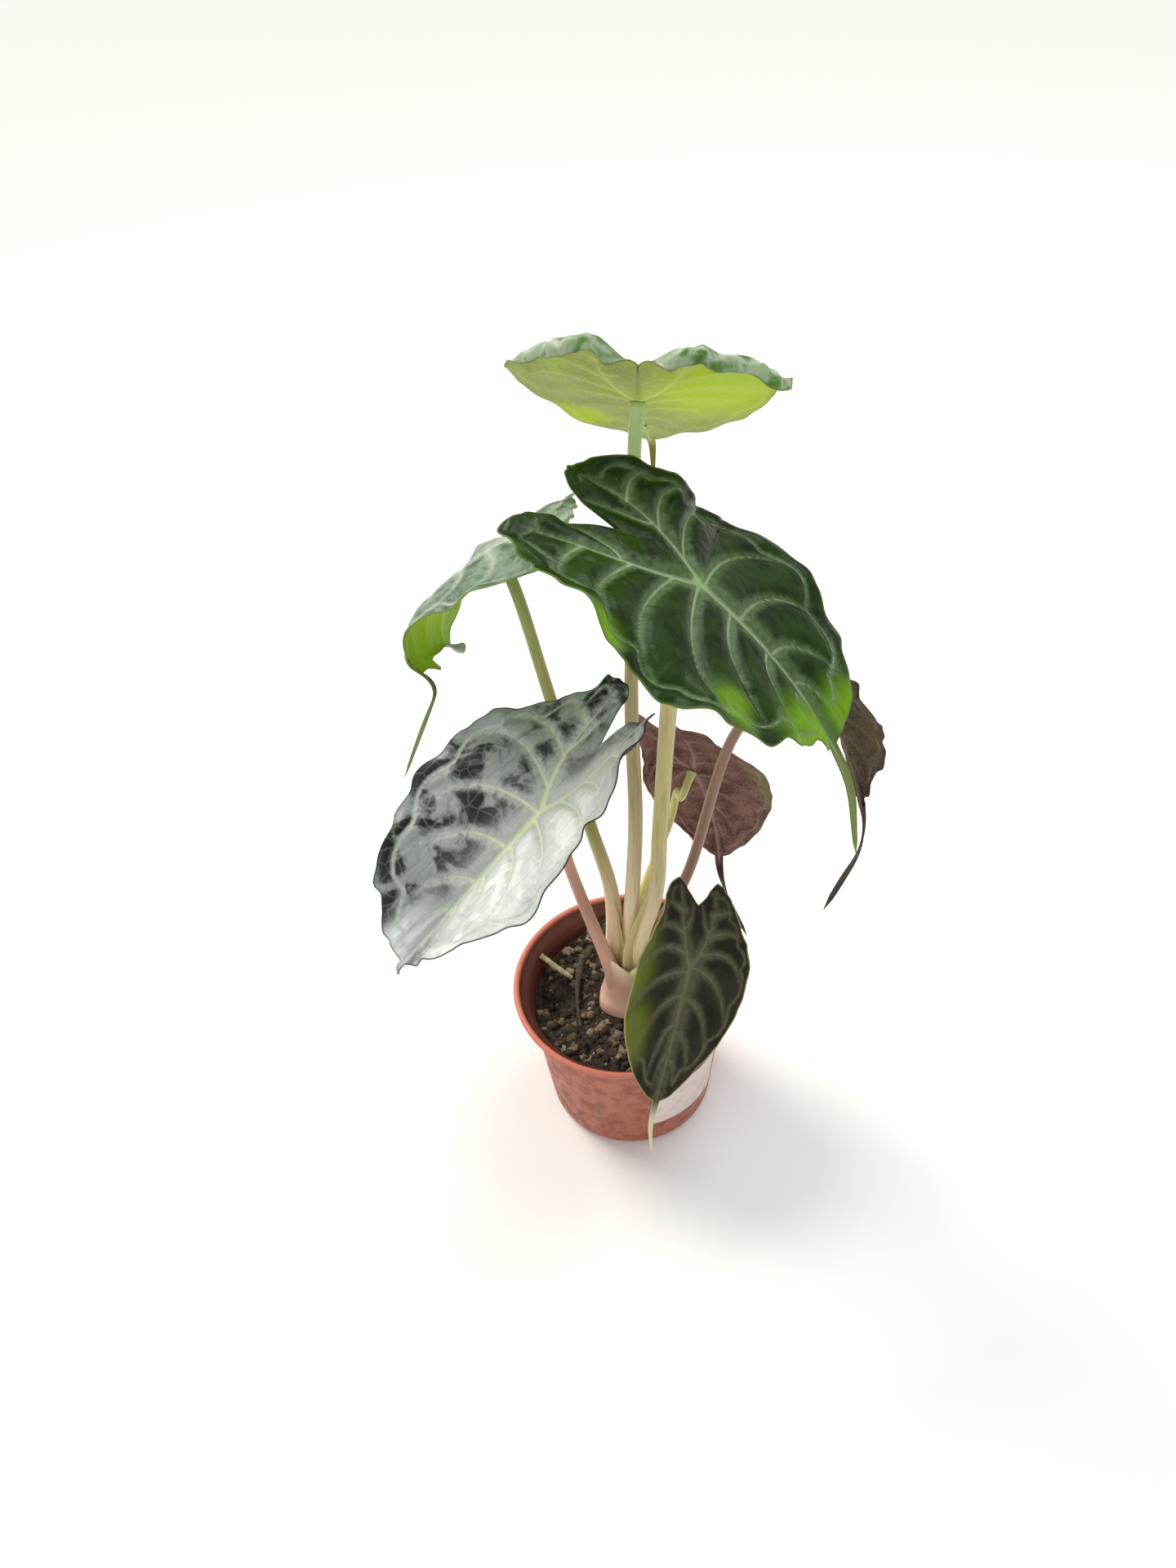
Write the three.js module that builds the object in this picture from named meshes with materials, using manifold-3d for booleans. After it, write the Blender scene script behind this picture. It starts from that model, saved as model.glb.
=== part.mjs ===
// Potted alocasia: an arrow-leaved house plant in a round plastic nursery pot.
// Millimetres, +Z up. The origin is the middle of the pot's flat underside.
import * as THREE from 'three';
import * as BufferGeometryUtils from 'three/addons/utils/BufferGeometryUtils.js';
import Module from 'manifold-3d';

const wasm = await Module();
wasm.setup();

// Driving dimensions.
const gap = 0.3; // clearance between pieces that touch

const potHeight = 89;
const rimRadius = 59; // outside of the rolled rim
const rimHeight = 9; // depth of the flare below the rim
const shoulderRadius = 51.5; // outside of the wall just under the flare
const baseRadius = 44;
const footRound = 5; // rounded foot between wall and base
const potWall = 1.4;
const potFacets = 72;
const drainCount = 6;
const drainRadius = 4;
const drainRing = 31; // distance of the drain holes from the pot's axis

const soilTop = 72;
// Hollows and heaps in the soil: middle, rise and reach of each.
const soilShape = [[-38, 2, -9, 14], [-4, 50, 10, 15], [5, -34, 3, 18], [-24, 24, 4, 12]];

const labelHeight = 36;
const labelBottom = 22;
const labelThickness = 0.3;
const labelFrom = -80; // the label's two upright edges, degrees round the pot
const labelTo = -30;

const bladeThickness = 0.8;
const outlineSteps = 20; // divisions of each half of a blade's outline
const ringCount = 5; // rings between the petiole's attachment and the margin
const dripRows = 8;
const petioleSides = 10;
const petioleStep = 16; // length of one facet along a petiole

const cormMiddle = [-1, -0.5];
const cormTop = 95;
const cormProfile = [
  [0, 63], [5, 63.4], [9.4, 65.6], [12, 69], [13.2, 74], [12.9, 79], [12.2, 85], [11.7, 90], [11.6, cormTop],
  [0, cormTop],
];

// One half of the blade's outline, from the tip round the lobe to the notch. Across is in
// half widths; along is in blade lengths in front of the attachment and lobe lengths behind it.
const halfOutline = [
  [0, 1], [0.22, 0.92], [0.52, 0.73], [0.8, 0.47], [0.97, 0.19], [1, -0.12],
  [0.86, -0.38], [0.67, -0.64], [0.5, -0.88], [0.31, -1], [0.13, -0.84], [0, -0.62],
];
const fullnessAt = [0, 2.5, 5.5, 8.5, 11]; // outline points where a half's fullness is given

// Each leaf: where the petiole meets the blade, how the blade is turned there (degrees), its
// flat size, and how it bends. Folds lift each half about the midrib at the attachment, the
// tip and the lobes. Fullness widens a half near the tip, the belly and the lobe.
const leaves = {
  crown: {
    attach: [14, 6, 402], heading: 86, dip: 35, roll: 7, length: 72, lobes: 49, halfWidth: 48,
    droop: 5, lobeDrop: -13, sway: 8, twist: 0, lobeTwist: -2, notch: 0.62, notchWidth: 0.15,
    foldRight: [12, 3, 13], foldLeft: [10, 3, 13],
    fullRight: [1.05, 1.08, 0.97], fullLeft: [1, 0.95, 0.94],
    drip: 24, dripLean: [0, 0], dripWidth: [1.8, 0.7],
    route: [[0.9, 1.2], [5.4, 4, 155], [8, 5, 201], [8, 5, 265], [10, 1, 330]], thick: [3, 2.9],
    colour: 0x8fa63a,
  },
  front: {
    attach: [28, -60, 370], heading: -19, dip: 41, roll: 2, length: 72, lobes: 62, halfWidth: 58,
    droop: 13, lobeDrop: 42, sway: 17, twist: 4, lobeTwist: -27, notch: 0.52, notchWidth: 1,
    foldRight: [-2, 17, 36], foldLeft: [-9, 20, 12],
    fullRight: [0.98, 0.91, 1], fullLeft: [0.96, 0.7, 0.86],
    drip: 45, dripLean: [0.12, -0.13], dripWidth: [2.4, 0.6],
    route: [[7.2, -1.3], [7.8, -2, 121], [16, 0, 153], [18, -8, 204], [20.5, -30, 297]], thick: [3.1, 2.9],
    colour: 0x2c4a1e,
  },
  upperLeft: {
    attach: [-43, 25, 337], heading: -152, dip: 20, roll: 26, length: 67, lobes: 41, halfWidth: 40,
    droop: 111, lobeDrop: 3, sway: 6, twist: 25, lobeTwist: -6, notch: 0.62, notchWidth: 1, gather: 3.5,
    foldRight: [-6, -42, -25], foldLeft: [-11, -11, -20],
    fullRight: [1.32, 0.97, 1.01], fullLeft: [0.91, 1.11, 0.86],
    drip: 53, dripLean: [-0.83, -0.14], dripWidth: [2, 0.5],
    route: [[-5, 3.7], [-5, 8, 149], [-13, 13, 191], [-26.5, 25, 261]], thick: [2.8, 2.4],
    colour: 0x9fb0a0,
  },
  lowerLeft: {
    attach: [-32, -49, 263], heading: -154, dip: 36, roll: -4, length: 81, lobes: 59, halfWidth: 47,
    droop: -11, lobeDrop: -1, sway: -8, twist: -7, lobeTwist: -14, notch: 0.6, notchWidth: 1,
    foldRight: [22, 36, 3], foldLeft: [19, 30, 17],
    fullRight: [1.12, 0.97, 1], fullLeft: [1, 0.76, 1],
    drip: 6, dripLean: [-0.17, 0], dripWidth: [1.5, 0.5],
    route: [[-6.4, -3.7], [-17, -9, 153], [-23.5, -22, 202]], thick: [2.8, 2.4],
    colour: 0x8a9a96,
  },
  right: {
    attach: [90, 24, 259], heading: -2, dip: 64, roll: -17, length: 72, lobes: 42, halfWidth: 27,
    droop: 21, lobeDrop: 8, sway: 9, twist: -26, lobeTwist: 0, notch: 0.62, notchWidth: 1,
    foldRight: [19, 45, 25], foldLeft: [27, 30, 25],
    fullRight: [1, 1, 1], fullLeft: [1.05, 1, 1],
    drip: 65, dripLean: [-0.44, -0.14], dripWidth: [2.6, 1.3],
    route: [[5.6, 5], [31, 8, 153], [57, 14, 246]], thick: [2.6, 2.3],
    colour: 0x4a4234,
  },
  back: {
    attach: [39, 45, 192], heading: 30, dip: 67, roll: -39, length: 78, lobes: 47, halfWidth: 32,
    droop: 15, lobeDrop: 11, sway: -13, twist: -13, lobeTwist: -13, notch: 0.62, notchWidth: 0.6,
    foldRight: [-7, 6, 2], foldLeft: [-17, -8, 11],
    fullRight: [1.14, 1.16, 1.06], fullLeft: [0.94, 0.75, 1.04],
    drip: 60, dripLean: [0.38, -0.25], dripWidth: [2.2, 0.8],
    route: [[0.5, 6.8], [12, 14, 144], [27, 33, 172], [31, 39, 184]], thick: [2.4, 1.9],
    colour: 0x5a3a36,
  },
  small: {
    attach: [27, -51, 160], heading: -116, dip: 45, roll: -44, length: 64, lobes: 38, halfWidth: 31,
    droop: 8, lobeDrop: 31, sway: -3, twist: 4, lobeTwist: 0, notch: 0.76, notchWidth: 0.9,
    foldRight: [7, 2, 6], foldLeft: [5, 5, 6],
    fullRight: [1.04, 0.88, 1.06], fullLeft: [0.97, 0.97, 1.06],
    drip: 33, dripLean: [0, -0.09], dripWidth: [1.5, 0.4],
    route: [[1.4, -6.4], [10, -22, 125]], thick: [2.2, 1.7],
    colour: 0x26331f,
  },
};

// Loose crumbs of bark and perlite on the soil: place and size.
const crumbs = [[-30, 30, 4], [-20, -10, 3], [-35.4, -11, 2.8], [-30.5, -31.5, 3.2], [-16.6, -33.6, 2.6]];

const plant = new THREE.Group();

function addMesh(name, geometry, colour, roughness) {
  const material = new THREE.MeshStandardMaterial({ color: colour, roughness, metalness: 0 });
  const mesh = new THREE.Mesh(geometry, material);
  mesh.name = name;
  plant.add(mesh);
  return mesh;
}

function rad(degrees) {
  return THREE.MathUtils.degToRad(degrees);
}

function merged(geometry) {
  const bare = geometry.clone();
  bare.deleteAttribute('normal');
  bare.deleteAttribute('uv');
  return BufferGeometryUtils.mergeVertices(bare, 1e-4);
}

function solidOf(geometry) {
  const bare = merged(geometry);
  const vertProperties = Float32Array.from(bare.attributes.position.array);
  const triVerts = Uint32Array.from(bare.index.array);
  return new wasm.Manifold(new wasm.Mesh({ numProp: 3, vertProperties, triVerts }));
}

function geometryOf(solid) {
  const { vertProperties, triVerts } = solid.getMesh();
  const geometry = new THREE.BufferGeometry();
  geometry.setAttribute('position', new THREE.BufferAttribute(vertProperties, 3));
  geometry.setIndex(new THREE.BufferAttribute(triVerts, 1));
  return geometry;
}

// A lathe about Z from [radius, z] points.
function turned(profile, facets) {
  const points = profile.map(([r, z]) => new THREE.Vector2(r, z));
  return new THREE.LatheGeometry(points, facets).rotateX(Math.PI / 2);
}

// Outside radius of the pot's straight wall.
function wallRadius(z) {
  const share = z / (potHeight - rimHeight);
  return baseRadius + (shoulderRadius - baseRadius) * share;
}

// An open cup with a rounded foot, a flared lip and a rolled rim, and holes through its base.
function nurseryPot() {
  const flare = potHeight - rimHeight;
  const roll = 1.6;
  const profile = [[0, 0], [baseRadius - footRound, 0]];
  for (let i = 1; i <= 4; i++) {
    const a = rad(-90 + i * 20);
    const middle = wallRadius(footRound) - footRound;
    profile.push([middle + footRound * Math.cos(a), footRound + footRound * Math.sin(a)]);
  }
  profile.push([wallRadius(flare - 2), flare - 2], [shoulderRadius + 1.6, flare + 2]);
  profile.push([rimRadius - 2.6, flare + 5.5]);
  for (let i = 0; i <= 6; i++) {
    const a = rad(-20 + i * 35);
    profile.push([rimRadius - roll + roll * Math.cos(a), potHeight - roll + roll * Math.sin(a)]);
  }
  profile.push([rimRadius - 2.8 - potWall, flare + 5.5], [shoulderRadius + 1.4 - potWall, flare + 2]);
  profile.push([wallRadius(flare - 2) - potWall, flare - 2]);
  profile.push([wallRadius(footRound) - potWall, footRound], [baseRadius - footRound, potWall], [0, potWall]);
  let pot = solidOf(turned(profile, potFacets));
  for (let i = 0; i < drainCount; i++) {
    const a = rad(30 + (i * 360) / drainCount);
    const drill = new THREE.CylinderGeometry(drainRadius, drainRadius, potWall * 4, 16);
    drill.rotateX(Math.PI / 2).translate(drainRing * Math.cos(a), drainRing * Math.sin(a), 0);
    pot = pot.subtract(solidOf(drill));
  }
  return geometryOf(pot);
}

// The swollen foot of the stem, flat on top where the petioles leave it; extra widens it for
// the hole in the soil.
function cormSolid(extra) {
  const profile = cormProfile.map(([r, z]) => [r === 0 ? 0 : r + extra, z < 66 ? z - extra : z]);
  return turned(profile, 28).translate(...cormMiddle, 0);
}

// Height of the soil's surface.
function soilHeight(x, y) {
  const rises = soilShape.map(([atX, atY, rise, reach]) => {
    return rise * Math.exp(-((x - atX) ** 2 + (y - atY) ** 2) / reach ** 2);
  });
  return rises.reduce((sum, rise) => sum + rise, soilTop);
}

// Potting mix filling the pot to below the rim, hollowed where the corm sits in it.
function pottingSoil() {
  const inner = (z) => wallRadius(z) - potWall - gap;
  const bottom = potWall + gap;
  const rings = 9;
  const profile = [[0, bottom], [baseRadius - footRound - 1, bottom], [inner(footRound) - 0.5, footRound + gap]];
  profile.push([inner(soilTop - 14), soilTop - 14]);
  for (let i = 0; i <= rings; i++) profile.push([inner(soilTop) * (1 - i / rings), soilTop]);
  const body = turned(profile, potFacets);
  const position = body.attributes.position;
  for (let i = 0; i < position.count; i++) {
    if (position.getZ(i) < soilTop - 1) continue;
    const [x, y] = [position.getX(i), position.getY(i)];
    const z = soilHeight(x, y);
    const scale = inner(z) / inner(soilTop);
    position.setXYZ(i, x * scale, y * scale, z);
  }
  return geometryOf(solidOf(body).subtract(solidOf(cormSolid(1.4 * gap))));
}

// A closed sheet: flat [x, y] points with triangles, placed by a function and given thickness.
function sheetSolid(flat, faces, place, thickness) {
  const step = 0.05;
  const count = flat.length;
  const positions = [];
  for (const side of [0.5, -0.5]) {
    for (const [x, y] of flat) {
      const across = place(x + step, y).sub(place(x - step, y));
      const along = place(x, y + step).sub(place(x, y - step));
      const up = across.cross(along).normalize();
      const point = place(x, y).addScaledVector(up, side * thickness);
      positions.push(point.x, point.y, point.z);
    }
  }
  const used = new Set(faces.flatMap(([a, b, c]) => [`${a},${b}`, `${b},${c}`, `${c},${a}`]));
  const index = [];
  for (const [a, b, c] of faces) {
    index.push(a, b, c, count + a, count + c, count + b);
    for (const [from, to] of [[a, b], [b, c], [c, a]]) {
      if (used.has(`${to},${from}`)) continue;
      index.push(count + from, count + to, to, count + from, to, from);
    }
  }
  const geometry = new THREE.BufferGeometry();
  geometry.setAttribute('position', new THREE.Float32BufferAttribute(positions, 3));
  geometry.setIndex(index);
  return geometry;
}

// Frames along the midrib, from the lobes through the attachment to the end of the drip tip.
function midrib(leaf) {
  const h = new THREE.Vector3(Math.cos(rad(leaf.heading)), Math.sin(rad(leaf.heading)), 0);
  const z = new THREE.Vector3(0, 0, 1);
  const along = h.clone().multiplyScalar(Math.cos(rad(leaf.dip))).addScaledVector(z, -Math.sin(rad(leaf.dip)));
  const up = h.clone().multiplyScalar(Math.sin(rad(leaf.dip))).addScaledVector(z, Math.cos(rad(leaf.dip)));
  const start = { y: 0, point: new THREE.Vector3(...leaf.attach), along, up };
  start.up.applyAxisAngle(along, rad(leaf.roll));
  const advance = (frame, distance, droop, sway, twist) => {
    const side = frame.along.clone().cross(frame.up);
    const next = { y: frame.y + distance, along: frame.along.clone(), up: frame.up.clone() };
    next.along.applyAxisAngle(side, -rad(droop));
    next.up.applyAxisAngle(side, -rad(droop));
    next.along.applyAxisAngle(next.up, -rad(sway));
    next.up.applyAxisAngle(next.along, rad(twist));
    next.point = frame.point.clone().addScaledVector(next.along, distance);
    return next;
  };
  const front = [start];
  const steps = 30;
  const droopAt = leaf.gather ?? 1.5; // above 1, the droop gathers towards the tip
  for (let i = 0; i < steps; i++) {
    const share = (droopAt * ((i + 0.5) / steps) ** (droopAt - 1)) / steps;
    const last = front.at(-1);
    front.push(advance(last, leaf.length / steps, leaf.droop * share, leaf.sway / steps, leaf.twist / steps));
  }
  const hang = new THREE.Vector3(...leaf.dripLean, -1).normalize();
  const tipAlong = front.at(-1).along.clone();
  const dripSteps = 12;
  for (let i = 1; i <= dripSteps; i++) {
    const last = front.at(-1);
    const turn = THREE.MathUtils.smoothstep((i / dripSteps) * 1.6, 0, 1);
    const dripAlong = tipAlong.clone().lerp(hang, turn).normalize();
    const dripUp = last.up.clone().addScaledVector(dripAlong, -last.up.dot(dripAlong)).normalize();
    const point = last.point.clone().addScaledVector(dripAlong, leaf.drip / dripSteps);
    front.push({ y: last.y + leaf.drip / dripSteps, point, along: dripAlong, up: dripUp });
  }
  const rear = [start];
  for (let i = 0; i < steps; i++) {
    const last = rear.at(-1);
    rear.push(advance(last, -leaf.lobes / steps, -leaf.lobeDrop / steps, 0, -leaf.lobeTwist / steps));
  }
  return [...rear.slice(1).reverse(), ...front];
}

// How the flat blade is bent into space: along the midrib, and folded either side of it.
function bladePlace(leaf) {
  const frames = midrib(leaf);
  return (x, y) => {
    let i = 1;
    while (i < frames.length - 1 && frames[i].y < y) i++;
    const [a, b] = [frames[i - 1], frames[i]];
    const t = (y - a.y) / (b.y - a.y);
    const point = a.point.clone().lerp(b.point, t);
    const up = a.up.clone().lerp(b.up, t).normalize();
    const side = a.along.clone().lerp(b.along, t).normalize().cross(up);
    const [middle, tip, lobe] = x >= 0 ? leaf.foldRight : leaf.foldLeft;
    const ahead = THREE.MathUtils.clamp(y / leaf.length, 0, 1);
    const behind = THREE.MathUtils.clamp(-y / leaf.lobes, 0, 1);
    const fold = rad(middle + (tip - middle) * ahead + (lobe - middle) * behind);
    return point.addScaledVector(side, x * Math.cos(fold)).addScaledVector(up, Math.abs(x) * Math.sin(fold));
  };
}

// One half of a leaf's flat outline, from the tip to the notch.
function halfBlade(leaf, full) {
  const points = halfOutline.map(([x, y]) => new THREE.Vector2(x, y));
  points.at(-1).y = -leaf.notch;
  points.at(-2).x *= leaf.notchWidth;
  const fullness = [1, ...full, 1];
  return new THREE.SplineCurve(points).getPoints(outlineSteps).map((point, i) => {
    const at = (i / outlineSteps) * (halfOutline.length - 1);
    let k = 1;
    while (fullnessAt[k] < at) k++;
    const t = (at - fullnessAt[k - 1]) / (fullnessAt[k] - fullnessAt[k - 1]);
    const f = THREE.MathUtils.lerp(fullness[k - 1], fullness[k], (1 - Math.cos(Math.PI * t)) / 2);
    const reach = point.y >= 0 ? leaf.length : leaf.lobes;
    return [Math.max(point.x, 0) * leaf.halfWidth * f, point.y * reach * f];
  });
}

// The blade: rings round the attachment out to the margin, then the ribbon of the drip tip.
function blade(leaf) {
  const right = halfBlade(leaf, leaf.fullRight);
  const left = halfBlade(leaf, leaf.fullLeft).map(([x, y]) => [-x, y]);
  const outline = [...right, ...left.slice(1, -1).reverse()];
  const around = outline.length;
  const flat = [[0, 0]];
  for (let ring = 1; ring <= ringCount; ring++) {
    for (const [x, y] of outline) flat.push([(x * ring) / ringCount, (y * ring) / ringCount]);
  }
  const faces = [];
  for (let i = 0; i < around; i++) {
    const j = (i + 1) % around;
    faces.push([0, 1 + j, 1 + i]);
    for (let ring = 1; ring < ringCount; ring++) {
      const inner = 1 + (ring - 1) * around;
      const outer = inner + around;
      faces.push([inner + i, inner + j, outer + j], [inner + i, outer + j, outer + i]);
    }
  }
  const rim = 1 + (ringCount - 1) * around;
  let row = [rim + around - 1, rim, rim + 1];
  for (let i = 1; i <= dripRows; i++) {
    const t = i / dripRows;
    const half = THREE.MathUtils.lerp(...leaf.dripWidth, t);
    const first = flat.length;
    flat.push([-half, leaf.length + leaf.drip * t], [0, leaf.length + leaf.drip * t]);
    flat.push([half, leaf.length + leaf.drip * t]);
    for (const k of [0, 1]) {
      faces.push([row[k], row[k + 1], first + k + 1], [row[k], first + k + 1, first + k]);
    }
    row = [first, first + 1, first + 2];
  }
  return sheetSolid(flat, faces, bladePlace(leaf), bladeThickness);
}

// The centre line of a leaf's stalk, from the corm to just under the blade.
function petiolePath(leaf) {
  const [baseRadiusHere, topRadius] = leaf.thick;
  const points = leaf.route.map(([x, y, z]) => new THREE.Vector3(x, y, z ?? cormTop));
  const place = bladePlace(leaf);
  const up = place(0.1, 0).sub(place(-0.1, 0)).cross(place(0, 0.1).sub(place(0, -0.1))).normalize();
  const attach = new THREE.Vector3(...leaf.attach);
  const arrive = attach.clone().sub(points.at(-1)).normalize().lerp(up, 0.6).normalize();
  const tilt = Math.sqrt(1 - arrive.dot(up) ** 2);
  const fold = Math.max(0, Math.tan(-rad(Math.min(leaf.foldRight[0], leaf.foldLeft[0]))));
  const below = bladeThickness / 2 + gap + topRadius * (tilt + fold);
  const end = attach.addScaledVector(up, -below);
  points.push(end.clone().addScaledVector(arrive, -14), end);
  const lean = points[1].clone().sub(points[0]).normalize();
  points[0].z += gap + baseRadiusHere * Math.sqrt(1 - lean.z ** 2);
  return new THREE.CatmullRomCurve3(points, false, 'centripetal');
}

// A round stalk along a path, narrowing evenly from its foot to its top.
function taperedTube(path, radii, sides, step) {
  const section = new THREE.Shape().absarc(0, 0, radii[0], 0, Math.PI * 2);
  const steps = Math.max(6, Math.round(path.getLength() / step));
  const options = { steps, curveSegments: sides / 2, bevelEnabled: false, extrudePath: path };
  const tube = new THREE.ExtrudeGeometry(section, options);
  const middles = path.getSpacedPoints(steps);
  const position = tube.attributes.position;
  const point = new THREE.Vector3();
  for (let i = 0; i < position.count; i++) {
    point.fromBufferAttribute(position, i);
    const misses = middles.map((middle) => Math.abs(middle.distanceTo(point) - radii[0]));
    const nearest = misses.indexOf(Math.min(...misses));
    const scale = THREE.MathUtils.lerp(1, radii[1] / radii[0], nearest / steps);
    point.sub(middles[nearest]).multiplyScalar(scale).add(middles[nearest]);
    position.setXYZ(i, point.x, point.y, point.z);
  }
  return tube;
}

// The blank sticker, curved to the pot's wall.
function potLabel() {
  const columns = 12;
  const flat = [];
  const faces = [];
  for (let j = 0; j <= 1; j++) {
    for (let i = 0; i <= columns; i++) flat.push([i / columns, j]);
  }
  for (let i = 0; i < columns; i++) {
    faces.push([i, i + 1, i + columns + 2], [i, i + columns + 2, i + columns + 1]);
  }
  const place = (u, v) => {
    const z = labelBottom + labelHeight * v;
    const radius = wallRadius(z) + gap + labelThickness / 2;
    const angle = rad(labelFrom + (labelTo - labelFrom) * u);
    return new THREE.Vector3(radius * Math.cos(angle), radius * Math.sin(angle), z);
  };
  return sheetSolid(flat, faces, place, labelThickness);
}

function crumb(size, turn) {
  const chip = new THREE.IcosahedronGeometry(size, 1);
  return chip.scale(1, 0.75, 0.55).rotateZ(turn);
}

function pathThrough(points) {
  return new THREE.CatmullRomCurve3(points.map((point) => new THREE.Vector3(...point)));
}

addMesh('nursery_pot', nurseryPot(), 0xb5654e, 0.45);
addMesh('pot_label', potLabel(), 0xe6dcd8, 0.6);
addMesh('potting_soil', pottingSoil(), 0x3a2a20, 0.95);
addMesh('corm', cormSolid(0), 0xb98a72, 0.5);

for (const [name, leaf] of Object.entries(leaves)) {
  const node = name.replace(/[A-Z]/g, (letter) => `_${letter.toLowerCase()}`);
  addMesh(`blade_${node}`, blade(leaf), leaf.colour, 0.35);
  addMesh(`petiole_${node}`, taperedTube(petiolePath(leaf), leaf.thick, petioleSides, petioleStep), 0x9a9468, 0.4);
}

const stalk = pathThrough([[-44.6, 23.8, 83.4], [-37.5, 19, 79.5], [-28.5, 13.5, 75]]);
addMesh('dry_stalk', taperedTube(stalk, [1.5, 1.2], 8, 5), 0xc9bd9c, 0.8);
const root = pathThrough([
  [-16.4, 31.5, 77.6], [-21.5, 24.5, 78.6], [-25, 14.5, 76], [-26.5, 0, 71.5], [-25.5, -17, 73.6],
]);
addMesh('old_root', taperedTube(root, [1.7, 1.2], 8, 5), 0x6b5a4c, 0.9);

crumbs.forEach(([x, y, size], i) => {
  const rest = soilHeight(x, y) + gap + size * 0.7;
  addMesh(`crumb_${i + 1}`, crumb(size, i).translate(x, y, rest), 0xb89a72, 0.9);
});

export default plant;
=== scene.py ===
from math import cos, pi, radians, sin

import bpy
import numpy as np
from mathutils import Matrix, Vector, noise


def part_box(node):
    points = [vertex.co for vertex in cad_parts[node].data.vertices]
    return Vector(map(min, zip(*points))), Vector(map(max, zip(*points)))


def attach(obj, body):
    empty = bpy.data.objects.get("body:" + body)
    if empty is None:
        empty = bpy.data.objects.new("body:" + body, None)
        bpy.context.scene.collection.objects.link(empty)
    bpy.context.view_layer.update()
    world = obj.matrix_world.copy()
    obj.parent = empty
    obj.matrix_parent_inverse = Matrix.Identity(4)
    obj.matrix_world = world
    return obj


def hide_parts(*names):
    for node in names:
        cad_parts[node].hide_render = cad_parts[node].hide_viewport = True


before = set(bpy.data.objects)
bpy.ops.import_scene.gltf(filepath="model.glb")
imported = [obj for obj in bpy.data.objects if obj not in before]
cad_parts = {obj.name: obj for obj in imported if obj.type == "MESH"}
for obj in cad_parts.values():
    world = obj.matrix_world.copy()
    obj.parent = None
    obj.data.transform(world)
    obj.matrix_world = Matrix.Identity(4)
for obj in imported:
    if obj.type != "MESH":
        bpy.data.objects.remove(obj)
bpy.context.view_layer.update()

bpy.ops.object.select_all(action="DESELECT")
chance = np.random.default_rng(7)
mm = 0.001


def linear(hexColour):
    channels = [int(hexColour[i:i + 2], 16) / 255 for i in (1, 3, 5)]
    return tuple(c / 12.92 if c <= 0.04045 else ((c + 0.055) / 1.055) ** 2.4 for c in channels) + (1,)


def addNode(tree, kind, inputs=None, stops=None, **settings):
    node = tree.nodes.new("ShaderNode" + kind)
    for name, value in settings.items():
        setattr(node, name, value)
    if stops:  # a colour ramp's stops, as (place, colour)
        while len(node.color_ramp.elements) < len(stops):
            node.color_ramp.elements.new(0.5)
        for element, (place, colour) in zip(node.color_ramp.elements, stops):
            element.position = place
            element.color = colour
    for name, value in (inputs or {}).items():
        if isinstance(value, bpy.types.NodeSocket):
            tree.links.new(value, node.inputs[name])
        else:
            node.inputs[name].default_value = value
    return node


def newMaterial(name):
    material = bpy.data.materials.new(name)
    material.use_nodes = True
    material.node_tree.nodes.clear()
    return material, material.node_tree


# One colour over another where a value runs from low to high, at most that strong.
def layOver(tree, under, over, value, low, high, most=1.0):
    inputs = {"Value": value, "From Min": low, "From Max": high, "To Max": most}
    share = addNode(tree, "MapRange", inputs, interpolation_type="SMOOTHSTEP").outputs[0]
    return addNode(tree, "Mix", {0: share, 6: under, 7: over}, data_type="RGBA").outputs[2]


# The same in soft blotches that many millimetres wide. Gives the blotches too, for bumps and gloss.
def blotched(tree, at, size, under, over, low, high, most=1.0, detail=3.0, rough=0.5, warp=0.0):
    inputs = {"Scale": 1 / (size * mm), "Detail": detail, "Roughness": rough, "Distortion": warp}
    blotches = addNode(tree, "TexNoise", {"Vector": at, **inputs}).outputs[0]
    return layOver(tree, under, over, blotches, low, high, most), blotches


# Ends a material: its skin over bumps, each a pattern with its strength and its height in
# millimetres, and where the thing is thin a share of light that comes through it.
def surface(tree, skin, bumps=(), through=0, glow=None):
    normal = {}
    for pattern, strength, height in bumps:
        inputs = {"Height": pattern, "Strength": strength, "Distance": height * mm, **normal}
        normal = {"Normal": addNode(tree, "Bump", inputs).outputs[0]}
    outside = addNode(tree, "BsdfPrincipled", {**skin, **normal})
    if through:
        light = addNode(tree, "BsdfTranslucent", {"Color": glow})
        outside = addNode(tree, "MixShader", {0: through, 1: outside.outputs[0], 2: light.outputs[0]})
    addNode(tree, "OutputMaterial", {"Surface": outside.outputs[0]})


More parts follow.
